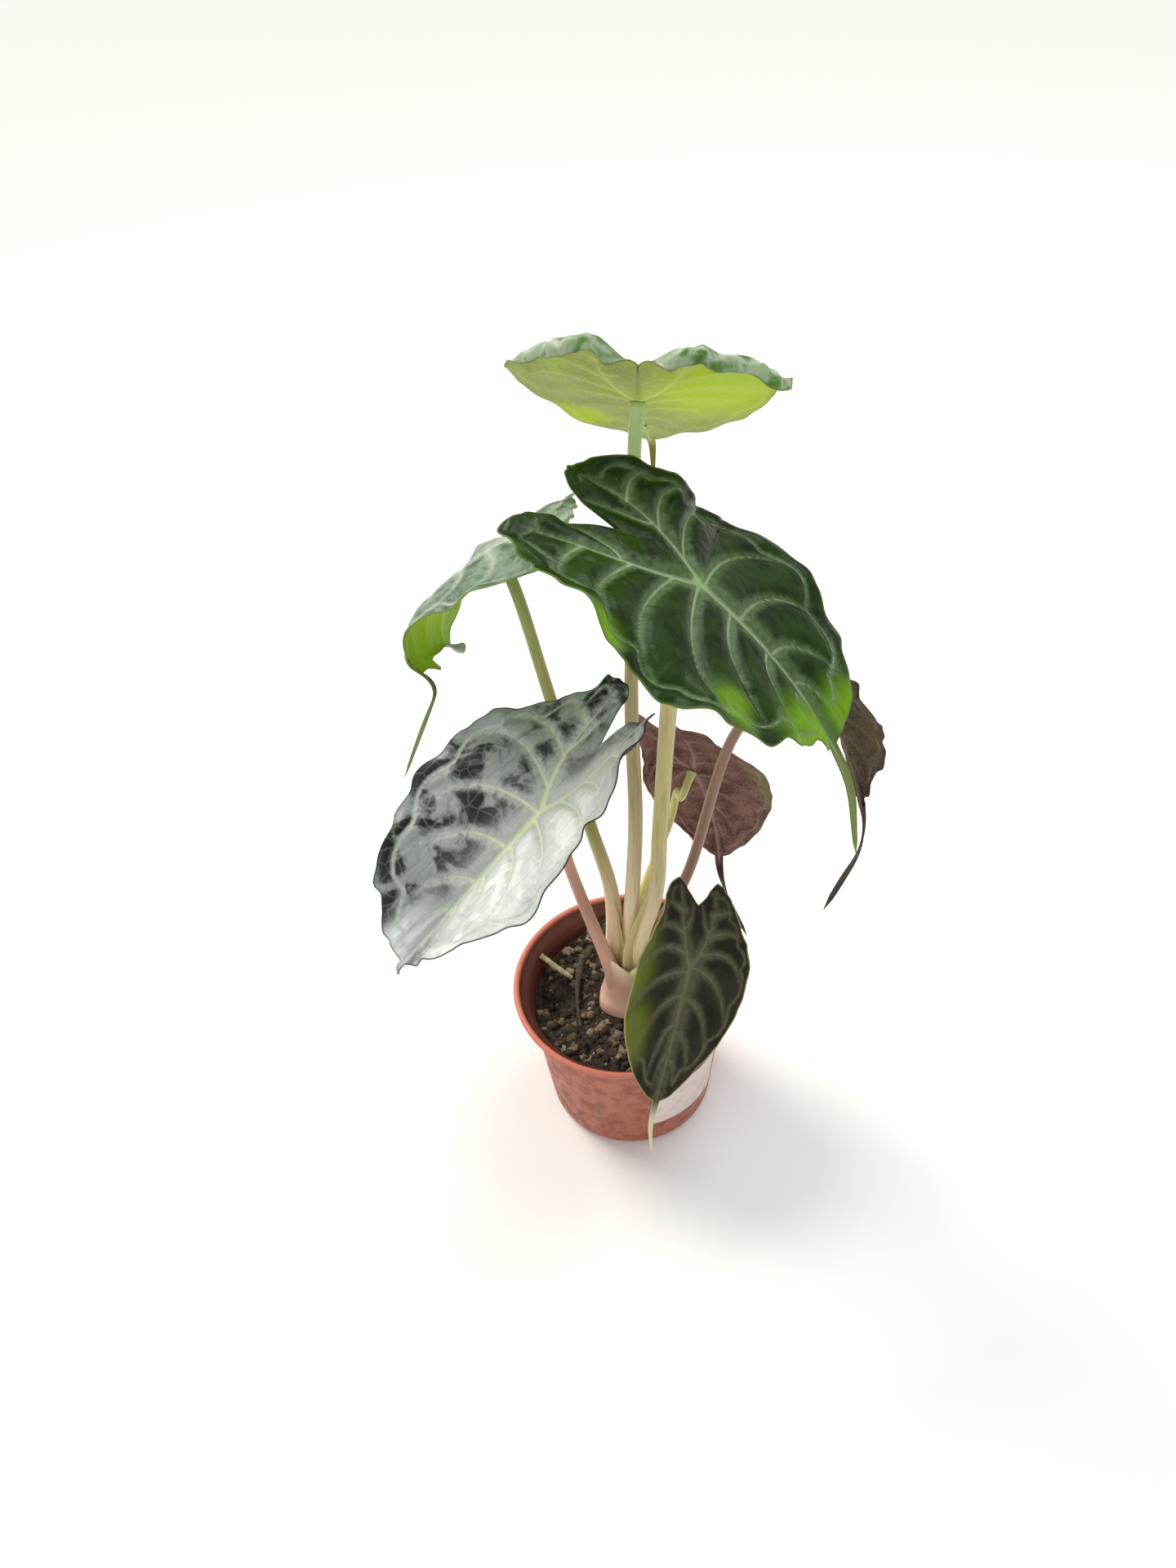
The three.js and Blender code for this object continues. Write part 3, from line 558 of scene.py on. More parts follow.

# Millimetres and degrees. The stalk meets the blade at attach, where heading, dip and roll turn it.
# The folds lift either half: at the attachment, the tip and the lobes. The fulls widen the outline at
# three places between the tip and the notch. A route starts with x and y at the throat of the stem's
# foot, and thick is the stalk's radius at its foot and top and its swelling. Patches are x, y, reach
# across, reach along and strength, and patchSides is how much they show on the upper and under face.
# The patch colour is mostly painted light: lime where light shines through the blade, and on the
# lower left leaf a painted white sheen.
leaves = {
    "crown": {
        "attach": (14, 6, 402), "heading": 86, "dip": 35, "roll": 7, "sink": 0.6,
        "length": 72, "lobes": 49, "halfWidth": 48, "notch": 0.62, "notchWidth": 0.15,
        "droop": 5, "lobeDrop": -13, "sway": 8, "twist": 0, "lobeTwist": -2,
        "foldRight": (12, 3, 13), "foldLeft": (10, 3, 13),
        "fullRight": (1.05, 1.08, 0.97), "fullLeft": (1, 0.95, 0.94),
        "drip": 24, "dripLean": (0, 0), "dripWidth": (1.8, 0.7), "dripTwist": 40,
        "route": [(0.9, 1.2), (5.4, 4, 155), (8, 5, 201), (8, 5, 265), (10, 1, 330)],
        "thick": (3.9, 2.3, 1.2),
        "puff": 0.8, "wave": 1.3, "ragged": 0.012, "torn": 0, "curl": 2.8, "lobeGrow": 1.24, "seed": 1,
        "upper": ("#2f6a22", "#5d8a4c", "#e2eadf", "#eef2e6"), "under": ("#9ba56c", "#aeb670", "#d8de90"),
        # the lime patches on the underside are painted light shining through
        "patchSides": (0, 1), "patch": "#bcd81c",
        "patches": [(30, -4, 28, 44, 1), (-24, 44, 14, 12, 0.9), (-30, -20, 8, 14, 0.4)],
        "glow": "#cfe408", "through": 0.36, "gloss": 0.36, "shine": 0.4, "coat": 0.1,
        "silvering": 0.9, "net": 0.5, "blotch": 9, "rib": 1.9, "lineShow": 0.6,
        "rim": "#85793f", "tip": "#7d6c38", "slot": "leaf_lime",
        "petiole": ("#eedcb8", "#a89c6c", "#a9c486"), "petioleSlot": "petiole_olive",
    },
    "front": {
        "attach": (28, -60, 370), "heading": -19, "dip": 41, "roll": 2,
        "length": 72, "lobes": 62, "halfWidth": 58, "notch": 0.52, "notchWidth": 1,
        "droop": 13, "lobeDrop": 42, "sway": 17, "twist": 4, "lobeTwist": -27,
        "foldRight": (-2, 17, 36), "foldLeft": (-9, 20, 12),
        "fullRight": (0.98, 0.91, 1), "fullLeft": (0.96, 0.7, 0.86),
        "drip": 45, "dripLean": (0.12, -0.13), "dripWidth": (2.4, 0.6), "dripTwist": 60,
        "route": [(7.2, -1.3), (7.8, -2, 121), (16, 0, 153), (18, -8, 204), (20.5, -30, 297)],
        "thick": (3.8, 3.2, 0.9),
        "puff": 1.6, "wave": 3.2, "ragged": 0.018, "torn": 0.05, "seed": 2,
        "upper": ("#122308", "#253d0a", "#7d966a", "#bccda6"), "under": ("#5d7c30", "#7e9c3c", "#a9c27a"),
        # the lime patches are painted light shining through from behind
        "patchSides": (1, 1), "patch": "#7fae22",
        "patches": [
            (15, 63, 18, 18, 1), (38, 30, 8, 12, 0.8), (-12, 64, 11, 12, 0.8), (46, -22, 6, 8, 0.9),
            (0, 0, 4, 4, 0.9), (34, -56, 7, 7, 0.5)],
        "glow": "#86b416", "through": 0.2, "gloss": 0.24, "shine": 0.3,
        "silvering": 0.62, "net": 0, "blotch": 8, "rib": 2.7, "lineShow": 0.7,
        "rim": "#5f7f35", "tip": "#7c8a4c", "slot": "leaf_green",
        "petiole": ("#eedcb8", "#b5ac70", "#a6cb88"), "petioleSlot": "petiole_olive",
    },
    "upper_left": {
        "attach": (-43, 25, 337), "heading": -152, "dip": 20, "roll": 26,
        "length": 67, "lobes": 41, "halfWidth": 40, "notch": 0.62, "notchWidth": 1,
        "droop": 111, "gather": 3.5, "lobeDrop": 3, "sway": 6, "twist": 25, "lobeTwist": -6,
        "foldRight": (-6, -42, -25), "foldLeft": (-11, -11, -20),
        "fullRight": (1.32, 0.97, 1.01), "fullLeft": (0.91, 1.11, 0.86),
        "drip": 53, "dripLean": (-0.45, -0.1), "dripWidth": (2, 0.5), "dripTwist": 120, "hangs": 3.6,
        "route": [(-5, 3.7), (-5, 8, 149), (-13, 13, 191), (-26.5, 25, 261)], "thick": (3.3, 2.4, 3.9),
        "puff": 1.0, "wave": 2.4, "ragged": 0.02, "torn": 0.07, "seed": 3,
        "upper": ("#46594c", "#7b8e80", "#c6d0ca", "#e3e8d0"), "under": ("#86a832", "#9dc03c", "#c5d884"),
        # the lime patches on the underside are painted light shining through
        "patchSides": (0, 1), "patch": "#b8d62e", "patches": [(20, 50, 26, 26, 1), (24, -30, 12, 12, 0.9)],
        "glow": "#b8dc1c", "through": 0.3, "gloss": 0.28, "shine": 0.5, "coat": 0.1,
        "silvering": 0.9, "net": 0.35, "blotch": 7, "rib": 2.0, "lineShow": 0.7,
        "rim": "#7d8c58", "tip": "#8f9a6c", "slot": "leaf_silver_green",
        "petiole": ("#eedab4", "#999a56", "#7d8d48"), "petioleSlot": "petiole_olive",
    },
    "lower_left": {
        "attach": (-32, -49, 263), "heading": -154, "dip": 36, "roll": -4,
        "length": 81, "lobes": 59, "halfWidth": 47, "notch": 0.6, "notchWidth": 1,
        "droop": -11, "lobeDrop": -1, "sway": -8, "twist": -7, "lobeTwist": -14,
        "foldRight": (22, 36, 3), "foldLeft": (19, 30, 17),
        "fullRight": (1.12, 0.97, 1), "fullLeft": (1, 0.76, 1),
        "drip": 6, "dripLean": (-0.17, 0), "dripWidth": (1.5, 0.5), "dripTwist": 0,
        "route": [(-6.4, -3.7), (-17, -9, 153), (-23.5, -22, 202)], "thick": (3.0, 2.4, 2.6),
        "puff": 1.4, "wave": 3.4, "ragged": 0.02, "torn": 0.01, "seed": 4,
        "upper": ("#141a19", "#2f3836", "#bfc7c5", "#d8e4bc"), "under": ("#241a20", "#3a2c34", "#5a4a52"),
        # the near-white patches are a painted sheen over the silver upper face
        "patchSides": (1, 0), "patch": "#eaecec",
        "patches": [
            (-20, 20, 26, 60, 1), (-26, 60, 22, 30, 0.9), (6, 74, 10, 26, 0.8), (-12, -30, 12, 20, 0.6)],
        "glow": "#8aa08a", "through": 0.05, "gloss": 0.3, "shine": 0.35,
        "silvering": 0.95, "net": 0.6, "blotch": 15, "rib": 3.6, "lineShow": 0.9,
        "rim": "#2b2226", "tip": "#56504a", "slot": "leaf_silver",
        "petiole": ("#d9ae9a", "#b88b79", "#b0a68c"), "petioleSlot": "petiole_pink",
    },
    "right": {
        "attach": (90, 24, 259), "heading": -2, "dip": 64, "roll": -17,
        "length": 72, "lobes": 42, "halfWidth": 27, "notch": 0.62, "notchWidth": 1,
        "droop": 21, "lobeDrop": 8, "sway": 9, "twist": -26, "lobeTwist": 0,
        "foldRight": (19, 45, 25), "foldLeft": (27, 30, 25),
        "fullRight": (1, 1, 1), "fullLeft": (1.05, 1, 1),
        "drip": 65, "dripLean": (-0.44, -0.14), "dripWidth": (2.6, 1.3), "dripTwist": 200,
        "route": [(5.6, 5), (31, 8, 153), (57, 14, 246)], "thick": (2.9, 2.4, 0.3),
        "puff": 0.9, "wave": 2.4, "ragged": 0.02, "torn": 0.02, "seed": 5,
        "upper": ("#2a3a22", "#3f5230", "#7d8a74", "#aab49a"), "under": ("#3e3628", "#56492f", "#7a6a54"),
        "patchSides": (0.3, 1), "patch": "#34222f", "patches": [(0, 74, 24, 22, 0.9)],
        "glow": "#6a5a30", "through": 0.12, "gloss": 0.32, "shine": 0.3, "coat": 0.1,
        "silvering": 0.7, "net": 0, "blotch": 8, "rib": 1.8, "lineShow": 0.5,
        "rim": "#4a3436", "tip": "#47423c", "slot": "leaf_bronze",
        "petiole": ("#a97a66", "#8d6d5e", "#8b7866"), "petioleSlot": "petiole_brown",
    },
    "back": {
        "attach": (39, 45, 192), "heading": 30, "dip": 67, "roll": -39,
        "length": 78, "lobes": 47, "halfWidth": 32, "notch": 0.62, "notchWidth": 0.6,
        "droop": 15, "lobeDrop": 11, "sway": -13, "twist": -13, "lobeTwist": -13,
        "foldRight": (-7, 6, 2), "foldLeft": (-17, -8, 11),
        "fullRight": (1.14, 1.16, 1.06), "fullLeft": (0.94, 0.75, 1.04),
        "drip": 60, "dripLean": (0.38, -0.25), "dripWidth": (2.2, 0.8), "dripTwist": 150,
        "route": [(0.5, 6.8), (12, 14, 144), (27, 33, 172), (31, 39, 184)], "thick": (2.4, 2, 0.3),
        "puff": 0.8, "wave": 1.2, "ragged": 0.014, "torn": 0, "seed": 6,
        "upper": ("#24321f", "#35482a", "#8a9880", "#a8b096"), "under": ("#583a34", "#8a645c", "#b4948c"),
        "patchSides": (0, 1), "patch": "#6f7434",
        "patches": [(40, 20, 11, 50, 0.9), (30, 62, 12, 14, 0.7)],
        "glow": "#8c4a34", "through": 0.2, "gloss": 0.34, "shine": 0.3, "coat": 0.1,
        "silvering": 0.7, "net": 0, "blotch": 8, "rib": 1.8, "lineShow": 0.5,
        "rim": "#6a5c3a", "tip": "#3f3231", "slot": "leaf_purple",
        "petiole": ("#dcd29c", "#d8d48c", "#dedc96"), "petioleSlot": "petiole_pale",
    },
    "small": {
        "attach": (27, -51, 160), "heading": -116, "dip": 45, "roll": -44,
        "length": 64, "lobes": 38, "halfWidth": 31, "notch": 0.76, "notchWidth": 0.9,
        "droop": 8, "lobeDrop": 31, "sway": -3, "twist": 4, "lobeTwist": 0,
        "foldRight": (7, 2, 6), "foldLeft": (5, 5, 6),
        "fullRight": (1.04, 0.88, 1.06), "fullLeft": (0.97, 0.97, 1.06),
        "drip": 33, "dripLean": (0, -0.09), "dripWidth": (1.5, 0.4), "dripTwist": 30,
        "route": [(1.4, -6.4), (10, -22, 125)], "thick": (2.4, 1.8, 0.3),
        "puff": 0.8, "wave": 0.8, "ragged": 0.012, "torn": 0, "seed": 7,
        "upper": ("#231f14", "#302b1f", "#68654f", "#8a876c"), "under": ("#3a2a2c", "#4f3c38", "#7a665c"),
        # the olive-lime patches along the margin are painted light shining through
        "patchSides": (1, 0.5), "patch": "#68751c", "patches": [(31, 0, 11, 40, 1), (23, 34, 10, 20, 0.9)],
        "glow": "#7a8c1c", "through": 0.1, "gloss": 0.45, "shine": 0.2,
        "silvering": 0.75, "net": 0, "blotch": 8, "rib": 2.6, "lineShow": 0.35,
        "rim": "#a8a874", "tip": "#d8d2ac", "slot": "leaf_dark",
        "petiole": ("#d2c79a", "#c9c48c", "#c9c48c"), "petioleSlot": "petiole_pale",
    },
}


# Frames along the midrib, from the lobes through the attachment to the end of the drip tip.
def midrib(leaf):
    level = Vector((cos(radians(leaf["heading"])), sin(radians(leaf["heading"])), 0))
    dip, top = radians(leaf["dip"]), Vector((0, 0, 1))
    along = level * cos(dip) - top * sin(dip)
    up = Matrix.Rotation(radians(leaf["roll"]), 3, along) @ (level * sin(dip) + top * cos(dip))
    start = (0.0, Vector(leaf["attach"]), along, up)

    def advance(last, distance, droop, sway, twist):
        y, point, along, up = last
        bend = Matrix.Rotation(-radians(droop), 3, along.cross(up))
        along, up = bend @ along, bend @ up
        along = Matrix.Rotation(-radians(sway), 3, up) @ along
        up = Matrix.Rotation(radians(twist), 3, along) @ up
        return y + distance, point + along * distance, along, up

    steps, extraSteps, dripSteps = 30, 10, 24  # the extra rear ones are for lobes that are drawn longer
    gather = leaf.get("gather", 1.5)  # how much of the droop is near the tip
    front, rear = [start], [start]
    for i in range(steps):
        share = gather * ((i + 0.5) / steps) ** (gather - 1) / steps
        droop, sway, twist = leaf["droop"] * share, leaf["sway"] / steps, leaf["twist"] / steps
        front.append(advance(front[-1], leaf["length"] / steps, droop, sway, twist))
    droop, twist = -leaf["lobeDrop"] / steps, -leaf["lobeTwist"] / steps
    for _ in range(steps + extraSteps):
        rear.append(advance(rear[-1], -leaf["lobes"] / steps, droop, 0, twist))
    hang = Vector((*leaf["dripLean"], -1)).normalized()
    tipAlong = front[-1][2].copy()
    for i in range(1, dripSteps + 1):
        y, point, _, up = front[-1]
        turn = float(smooth(leaf.get("hangs", 1.6) * i / dripSteps, 0, 1))
        along = tipAlong.lerp(hang, turn).normalized()
        up = (up - along * up.dot(along)).normalized()
        up = Matrix.Rotation(radians(leaf["dripTwist"]) / dripSteps, 3, along) @ up
        step = leaf["drip"] / dripSteps
        front.append((y + step, point + along * step, along, up))
    rows = rear[:0:-1] + front
    return [np.array([row[k] for row in rows], float) for k in range(4)]


# Where a point of the flat blade goes: bent along the midrib and folded either side of it.
def bladeBend(leaf):
    ys, points, alongs, ups = midrib(leaf)

    def bend(x, y):
        def at(table):
            return np.stack([np.interp(y, ys, table[:, k]) for k in range(3)], axis=1)
        up = rowwise(at(ups))
        side = np.cross(rowwise(at(alongs)), up)
        folds = np.where((x >= 0)[:, None], leaf["foldRight"], leaf["foldLeft"])
        ahead, behind = np.clip(y / leaf["length"], 0, 1), np.clip(-y / leaf["lobes"], 0, 1)
        fold = folds[:, 0] * (1 - ahead - behind) + folds[:, 1] * ahead + folds[:, 2] * behind
        fold = np.radians(fold)[:, None]
        lift = (np.sqrt(x**2 + 4) - 2)[:, None]  # softens the crease at the midrib
        return at(points) + side * x[:, None] * np.cos(fold) + up * lift * np.sin(fold)
    return bend


# Points of one half's outline at places 0 (tip) to 11 (notch), in flat millimetres. Each place's
# own fullness widens it, eased in between.
def outlineAt(leaf, side, at):
    points = np.array(halfOutline, float)
    points[-1, 1] = -leaf["notch"]
    points[-2, 0] *= leaf["notchWidth"]
    at = np.clip(np.asarray(at, float), 0, len(points) - 1)
    i = np.minimum(at.astype(int), len(points) - 2)
    t = (at - i)[:, None]
    a, b, c, d = (points[np.clip(i + k, 0, len(points) - 1)] for k in (-1, 0, 1, 2))
    start, end = (c - a) / 2, (d - b) / 2
    spot = (2 * b - 2 * c + start + end) * t**3 + (-3 * b + 3 * c - 2 * start - end) * t**2 + start * t + b
    full = np.array([1, *leaf["fullRight" if side > 0 else "fullLeft"], 1])
    ends = np.array([0, 2.5, 5.5, 8.5, 11])
    k = np.clip(np.searchsorted(ends, at, side="left"), 1, 4)
    mix = (1 - np.cos(pi * (at - ends[k - 1]) / (ends[k] - ends[k - 1]))) / 2
    f = full[k - 1] * (1 - mix) + full[k] * mix
    across = side * np.maximum(spot[:, 0], 0) * leaf["halfWidth"]
    along = spot[:, 1] * np.where(spot[:, 1] >= 0, leaf["length"], leaf["lobes"])
    return np.stack([across * f, along * f], axis=1)


def bezier(a, b, c, count=16):
    t = np.linspace(0, 1, count)[:, None]
    return a * (1 - t) ** 2 + 2 * b * t * (1 - t) + c * t**2


# The main veins as flat polylines, each with how wide it is at its start and end.
def veinLines(leaf):
    rib, tip, inset = leaf["rib"], leaf["length"] + leaf["drip"], 0.91
    lines = [(np.array([(0, y) for y in np.linspace(-2, tip, 30)]), rib, 0.5)]
    for side in (1, -1):
        for start, end in sideVeins:
            shift = 0.03 * sin(5 * start + 2 * side + leaf["seed"])
            a = np.array((0, (start + shift) * leaf["length"]))
            c = outlineAt(leaf, side, [end + 4 * shift])[0] * inset
            lines.append((bezier(a, a + (c - a) * (0.8, 0.06), c), 0.25 + 0.4 * rib, 0.45))
        c = outlineAt(leaf, side, [9])[0] * 0.9
        lobeRib = bezier(np.zeros(2), c * (0.95, 0.38), c)
        lines.append((lobeRib, 0.8 * rib, 0.6))
        for start, end, swing in lobeVeins:
            shift = 0.3 * sin(7 * start + 3 * side + leaf["seed"])
            a, c = lobeRib[int(start * 15)], outlineAt(leaf, side, [end + shift])[0] * inset
            b = a + (c - a) * (0.75, 0) - (0, swing * leaf["lobes"])
            lines.append((bezier(a, b, c), 0.2 + 0.35 * rib, 0.45))
        # the vein that links them all a little inside the margin
        arcs = 0.84 + 0.08 * np.abs(np.sin(np.linspace(0, 7 * pi, 70) + side))
        lines.append((outlineAt(leaf, side, np.linspace(0.9, 9.4, 70)) * arcs[:, None], 0.4, 0.4))
    return lines


# Distance from each flat point to the nearest vein, and how strongly it lies on a vein's
# line and in the pale band beside it.
def veinMarks(flat, lines):
    nearest = np.full(len(flat), 99.0)
    line, band = np.zeros(len(flat)), np.zeros(len(flat))
    for path, startWidth, endWidth in lines:
        for i, (a, b) in enumerate(zip(path, path[1:])):
            step = b - a
            t = np.clip(((flat - a) @ step) / (step @ step), 0, 1)
            gap = np.hypot(*(flat - a - t[:, None] * step).T)
            share = (i + t) / (len(path) - 1)
            width = startWidth + (endWidth - startWidth) * share
            nearest = np.minimum(nearest, gap)
            line = np.maximum(line, np.exp(-((gap / (0.62 * width)) ** 2)) * (1 - 0.5 * share))
            band = np.maximum(band, np.exp(-((gap / (3.1 * width)) ** 2)) * (1 - 0.35 * share))
    return nearest, line, band


# The whole outline of a blade with its drip tip, once round from the end of the drip.
def wholeOutline(leaf, bladeSteps, dripSteps):
    halves = []
    for side in (1, -1):
        share = np.linspace(1, 0, dripSteps, endpoint=False)
        wide, narrow = leaf["dripWidth"]
        width = (wide + (narrow - wide) * share) * np.minimum(1, (1 - share) * 8 + 0.1)
        drip = np.stack([side * width, leaf["length"] + leaf["drip"] * share], axis=1)
        at = np.linspace(0, 11, bladeSteps)
        edge = outlineAt(leaf, side, at)
        ragged = chance.normal(size=bladeSteps)
        ragged = np.convolve(ragged, np.hanning(7) / 3.5, "same")
        ragged += np.sin(at * 4.3 + leaf["seed"] * side) * 0.35
        torn = leaf["torn"] * smooth(at, 4.5, 1.5) if side > 0 else 0
        faded = ragged * smooth(at, 0.4, 1.2) * smooth(at, 10.8, 9.5)  # smooth at the tip and the notch
        edge *= (1 + (leaf["ragged"] + torn) * faded)[:, None]
        edge[:, 0] = side * np.maximum(side * edge[:, 0], wide * smooth(edge[:, 1], 0, leaf["length"]))
        edge[-1, 0] = 0
        halves.append(np.vstack([drip, edge]))
    return np.vstack([halves[0], halves[1][-2::-1], halves[0][:1]])


# What both skins of a leaf read: its flat coordinates, the marks on its mesh, and a net of cells
# that many millimetres wide, bent a little.
def leafMarks(tree, cell):
    flat = addNode(tree, "Attribute", attribute_name="flat").outputs["Vector"]
    names = ("line", "band", "rim", "patchy", "tip")
    marks = {mark: addNode(tree, "Attribute", attribute_name=mark).outputs["Fac"] for mark in names}
    sway = addNode(tree, "TexNoise", {"Vector": flat, "Scale": 1 / (7 * mm), "Detail": 2}).outputs["Color"]
    bent = {0: sway, 1: (3 * mm,) * 3, 2: flat}
    bent = addNode(tree, "VectorMath", bent, operation="MULTIPLY_ADD").outputs[0]
    cells = {"Vector": bent, "Scale": 1 / (cell * mm)}
    net = addNode(tree, "TexVoronoi", cells, feature="DISTANCE_TO_EDGE", voronoi_dimensions="2D").outputs[0]
    return flat, marks, net


# The drip tip's own colour and the thin coloured margin, on either face.
def tipAndRim(tree, leaf, colour, marks):
    inputs = {0: marks["tip"], 6: colour, 7: linear(leaf["tip"])}
    colour = addNode(tree, "Mix", inputs, data_type="RGBA").outputs[2]
    return layOver(tree, colour, linear(leaf["rim"]), marks["rim"], 0.2, 0.9, 0.8)


# Thin living leaf: waxy upper skin, silvered along the veins, that lets some light through.
def upperSkin(leaf, name):
    material, tree = newMaterial(name + "_upper_skin")
    dark, middle, silver, veinPale = (linear(c) for c in leaf["upper"])
    flat, marks, net = leafMarks(tree, 6)
    colour, _ = blotched(tree, flat, 13, dark, middle, 0.38, 0.62, warp=0.5)
    # the patch colour, mostly painted light: lime shining through, a white sheen on the lower left leaf
    colour = layOver(tree, colour, linear(leaf["patch"]), marks["patchy"], 0.08, 0.85, leaf["patchSides"][0])
    colour, _ = blotched(tree, flat, leaf["blotch"], colour, silver, 0.43, 0.57, leaf["net"], 4, 0.55, 0.8)
    colour = layOver(tree, colour, silver, net, 0.09, 0, 0.25 * leaf["net"])
    # the pale bands along the veins, worn in small spots
    cells = {"Vector": flat, "Scale": 1 / (2.4 * mm), "Detail": 4, "Roughness": 0.65}
    cells = addNode(tree, "TexNoise", cells).outputs[0]
    wear = {"Value": cells, "From Min": 0.25, "From Max": 0.8, "To Min": 0.7, "To Max": 1.25}
    wear = addNode(tree, "MapRange", wear, interpolation_type="SMOOTHSTEP").outputs[0]
    worn = addNode(tree, "Math", {0: marks["band"], 1: wear}, operation="MULTIPLY").outputs[0]
    colour = layOver(tree, colour, silver, worn, 0.2, 0.95, leaf["silvering"])
    # fine fibres that run aslant, 1.3 mm apart
    slant = {"Vector": flat, "Rotation": (0, 0, 0.9), "Scale": (1, 0.12, 1)}
    slant = addNode(tree, "Mapping", slant).outputs[0]
    colour, _ = blotched(tree, slant, 1.3, colour, middle, 0.48, 0.72, 0.25, rough=0.6)
    colour = layOver(tree, colour, veinPale, marks["line"], 0.3, 0.9, leaf["lineShow"])
    colour = tipAndRim(tree, leaf, colour, marks)
    gloss = leaf["gloss"]
    rough = {"Value": cells, "From Min": 0.3, "From Max": 0.7, "To Min": gloss, "To Max": gloss + 0.16}
    rough = addNode(tree, "MapRange", rough, interpolation_type="SMOOTHSTEP").outputs[0]
    fine = addNode(tree, "TexNoise", {"Vector": flat, "Scale": 1 / (0.9 * mm), "Detail": 2}).outputs[0]
    glow = layOver(tree, linear(leaf["glow"]), veinPale, marks["band"], 0.2, 0.9, 0.1)
    skin = {
        "Base Color": colour, "Roughness": rough, "IOR": 1.42, "Specular IOR Level": leaf["shine"],
        "Coat Weight": leaf.get("coat", 0), "Coat Roughness": 0.22}
    surface(tree, skin, [(fine, 0.2, 0.4), (net, 0.35, 1.2)], leaf["through"], glow)
    return material


# The matt underside of the leaf: paler raised veins, and the same light coming through.
def underSkin(leaf, name):
    material, tree = newMaterial(name + "_under_skin")
    base, other, veinPale = (linear(c) for c in leaf["under"])
    flat, marks, net = leafMarks(tree, 3)
    colour, _ = blotched(tree, flat, 12, base, other, 0.36, 0.64, detail=4, rough=0.6, warp=0.4)
    patched = 0.9 * leaf["patchSides"][1]
    # the patch colour, mostly painted light shining through the blade
    colour = layOver(tree, colour, linear(leaf["patch"]), marks["patchy"], 0.1, 0.8, patched)
    colour = layOver(tree, colour, veinPale, net, 0.12, 0.02, 0.3)
    colour = layOver(tree, colour, veinPale, marks["band"], 0.5, 1, 0.25)
    colour = layOver(tree, colour, veinPale, marks["line"], 0.3, 0.9, 0.75)
    colour = tipAndRim(tree, leaf, colour, marks)
    glow = layOver(tree, other, linear(leaf["glow"]), marks["patchy"], 0.1, 0.8)
    skin = {"Base Color": colour, "Roughness": 0.5, "IOR": 1.4, "Specular IOR Level": 0.3}
    surface(tree, skin, [(net, 0.3, 0.6)], leaf["through"], glow)
    return material


# The leaf's grid runs round the outline and in from the attachment to the margin.
def bladePiece(key, leaf):
    node = "blade_" + key
    length, seed = leaf["length"], leaf["seed"]
    outline = wholeOutline(leaf, 140, 26)
    around = len(outline) - 1
    bend, lines = bladeBend(leaf), veinLines(leaf)

    # the margin of the lobes rolls over in an arc and shows the upper face
    def rollMargin(edge, ring, x, y):
        rollFrom = 0.84  # share of the way from the attachment to the margin
        rolled = smooth(edge[:, 1], -6, -30) * smooth(np.abs(edge[:, 0]), 2, 12)
        reach = np.hypot(*edge.T) * leaf["lobeGrow"]
        over = np.maximum(ring - rollFrom, 0) * reach
        turnRate = np.maximum(rolled / leaf["curl"], 1e-4)
        shorter = (over - np.sin(turnRate * over) / turnRate) / reach
        scale = (1 + (leaf["lobeGrow"] - 1) * rolled) * (1 - shorter / np.maximum(ring, 0.01))
        return x * scale, y * scale, (1 - np.cos(turnRate * over)) / turnRate

    def place(u, v):
        i = np.rint(u * around).astype(int)
        edge, ring = outline[i], v**0.8
        flat = edge * ring[:, None]
        x, y = flat.T
        nearest, line, band = veinMarks(flat, lines)
        toRim = (1 - ring) * np.hypot(*edge.T)
        step = 0.2
        across = bend(x + step, y) - bend(x - step, y)
        along = bend(x, y + step) - bend(x, y - step)
        up = rowwise(np.cross(across, along))
        # puffed up between the veins, sunk along them and wavy towards the margin
        puff = leaf["puff"] * (1 - np.exp(-((nearest / 2.6) ** 2))) * (1 - 0.6 * smooth(ring, 0.93, 1))
        turn = i / around * 2 * pi
        wave = np.sin(9 * turn + seed) + 0.6 * np.sin(17 * turn + 2.1 * seed)
        wave += 0.35 * np.sin(29 * turn + 3 * seed)
        wave *= 0.6 * leaf["wave"] * smooth(ring, 0.6, 1.0) ** 1.5 * smooth(np.abs(x), 2, 12)
        rise = (puff + wave - 0.5 * line) * smooth(y, length + 4, length - 8)
        if "curl" in leaf:
            x, y, fall = rollMargin(edge, ring, x, y)
            rise = rise - fall
        # where the patch colour goes, mostly painted light
        patchy = np.zeros(len(x))
        for atX, atY, reachX, reachY, strength in leaf["patches"]:
            spot = strength * np.exp(-(((x - atX) / reachX) ** 2) - ((y - atY) / reachY) ** 2)
            patchy = np.maximum(patchy, spot)
        marks = {
            "line": line, "band": band, "rim": np.exp(-((toRim / 0.7) ** 2)), "patchy": patchy,
            "tip": smooth(y, length - 2, length + 9), "flat": np.column_stack([flat, 0 * x]) * mm,
        }
        return bend(x, y) + up * rise[:, None], marks

    piece = wrapGrid(node + "_skin", around, 84, place, closed=False)
    for skin in (upperSkin(leaf, node), underSkin(leaf, node)):
        piece.data.materials.append(skin)
    both = {"material_offset": 1, "material_offset_rim": 1}  # the second skin underneath and on the rim
    applied(piece, "SOLIDIFY", thickness=skinThickness * mm, offset=-1, **both)
    keep(piece, [node])


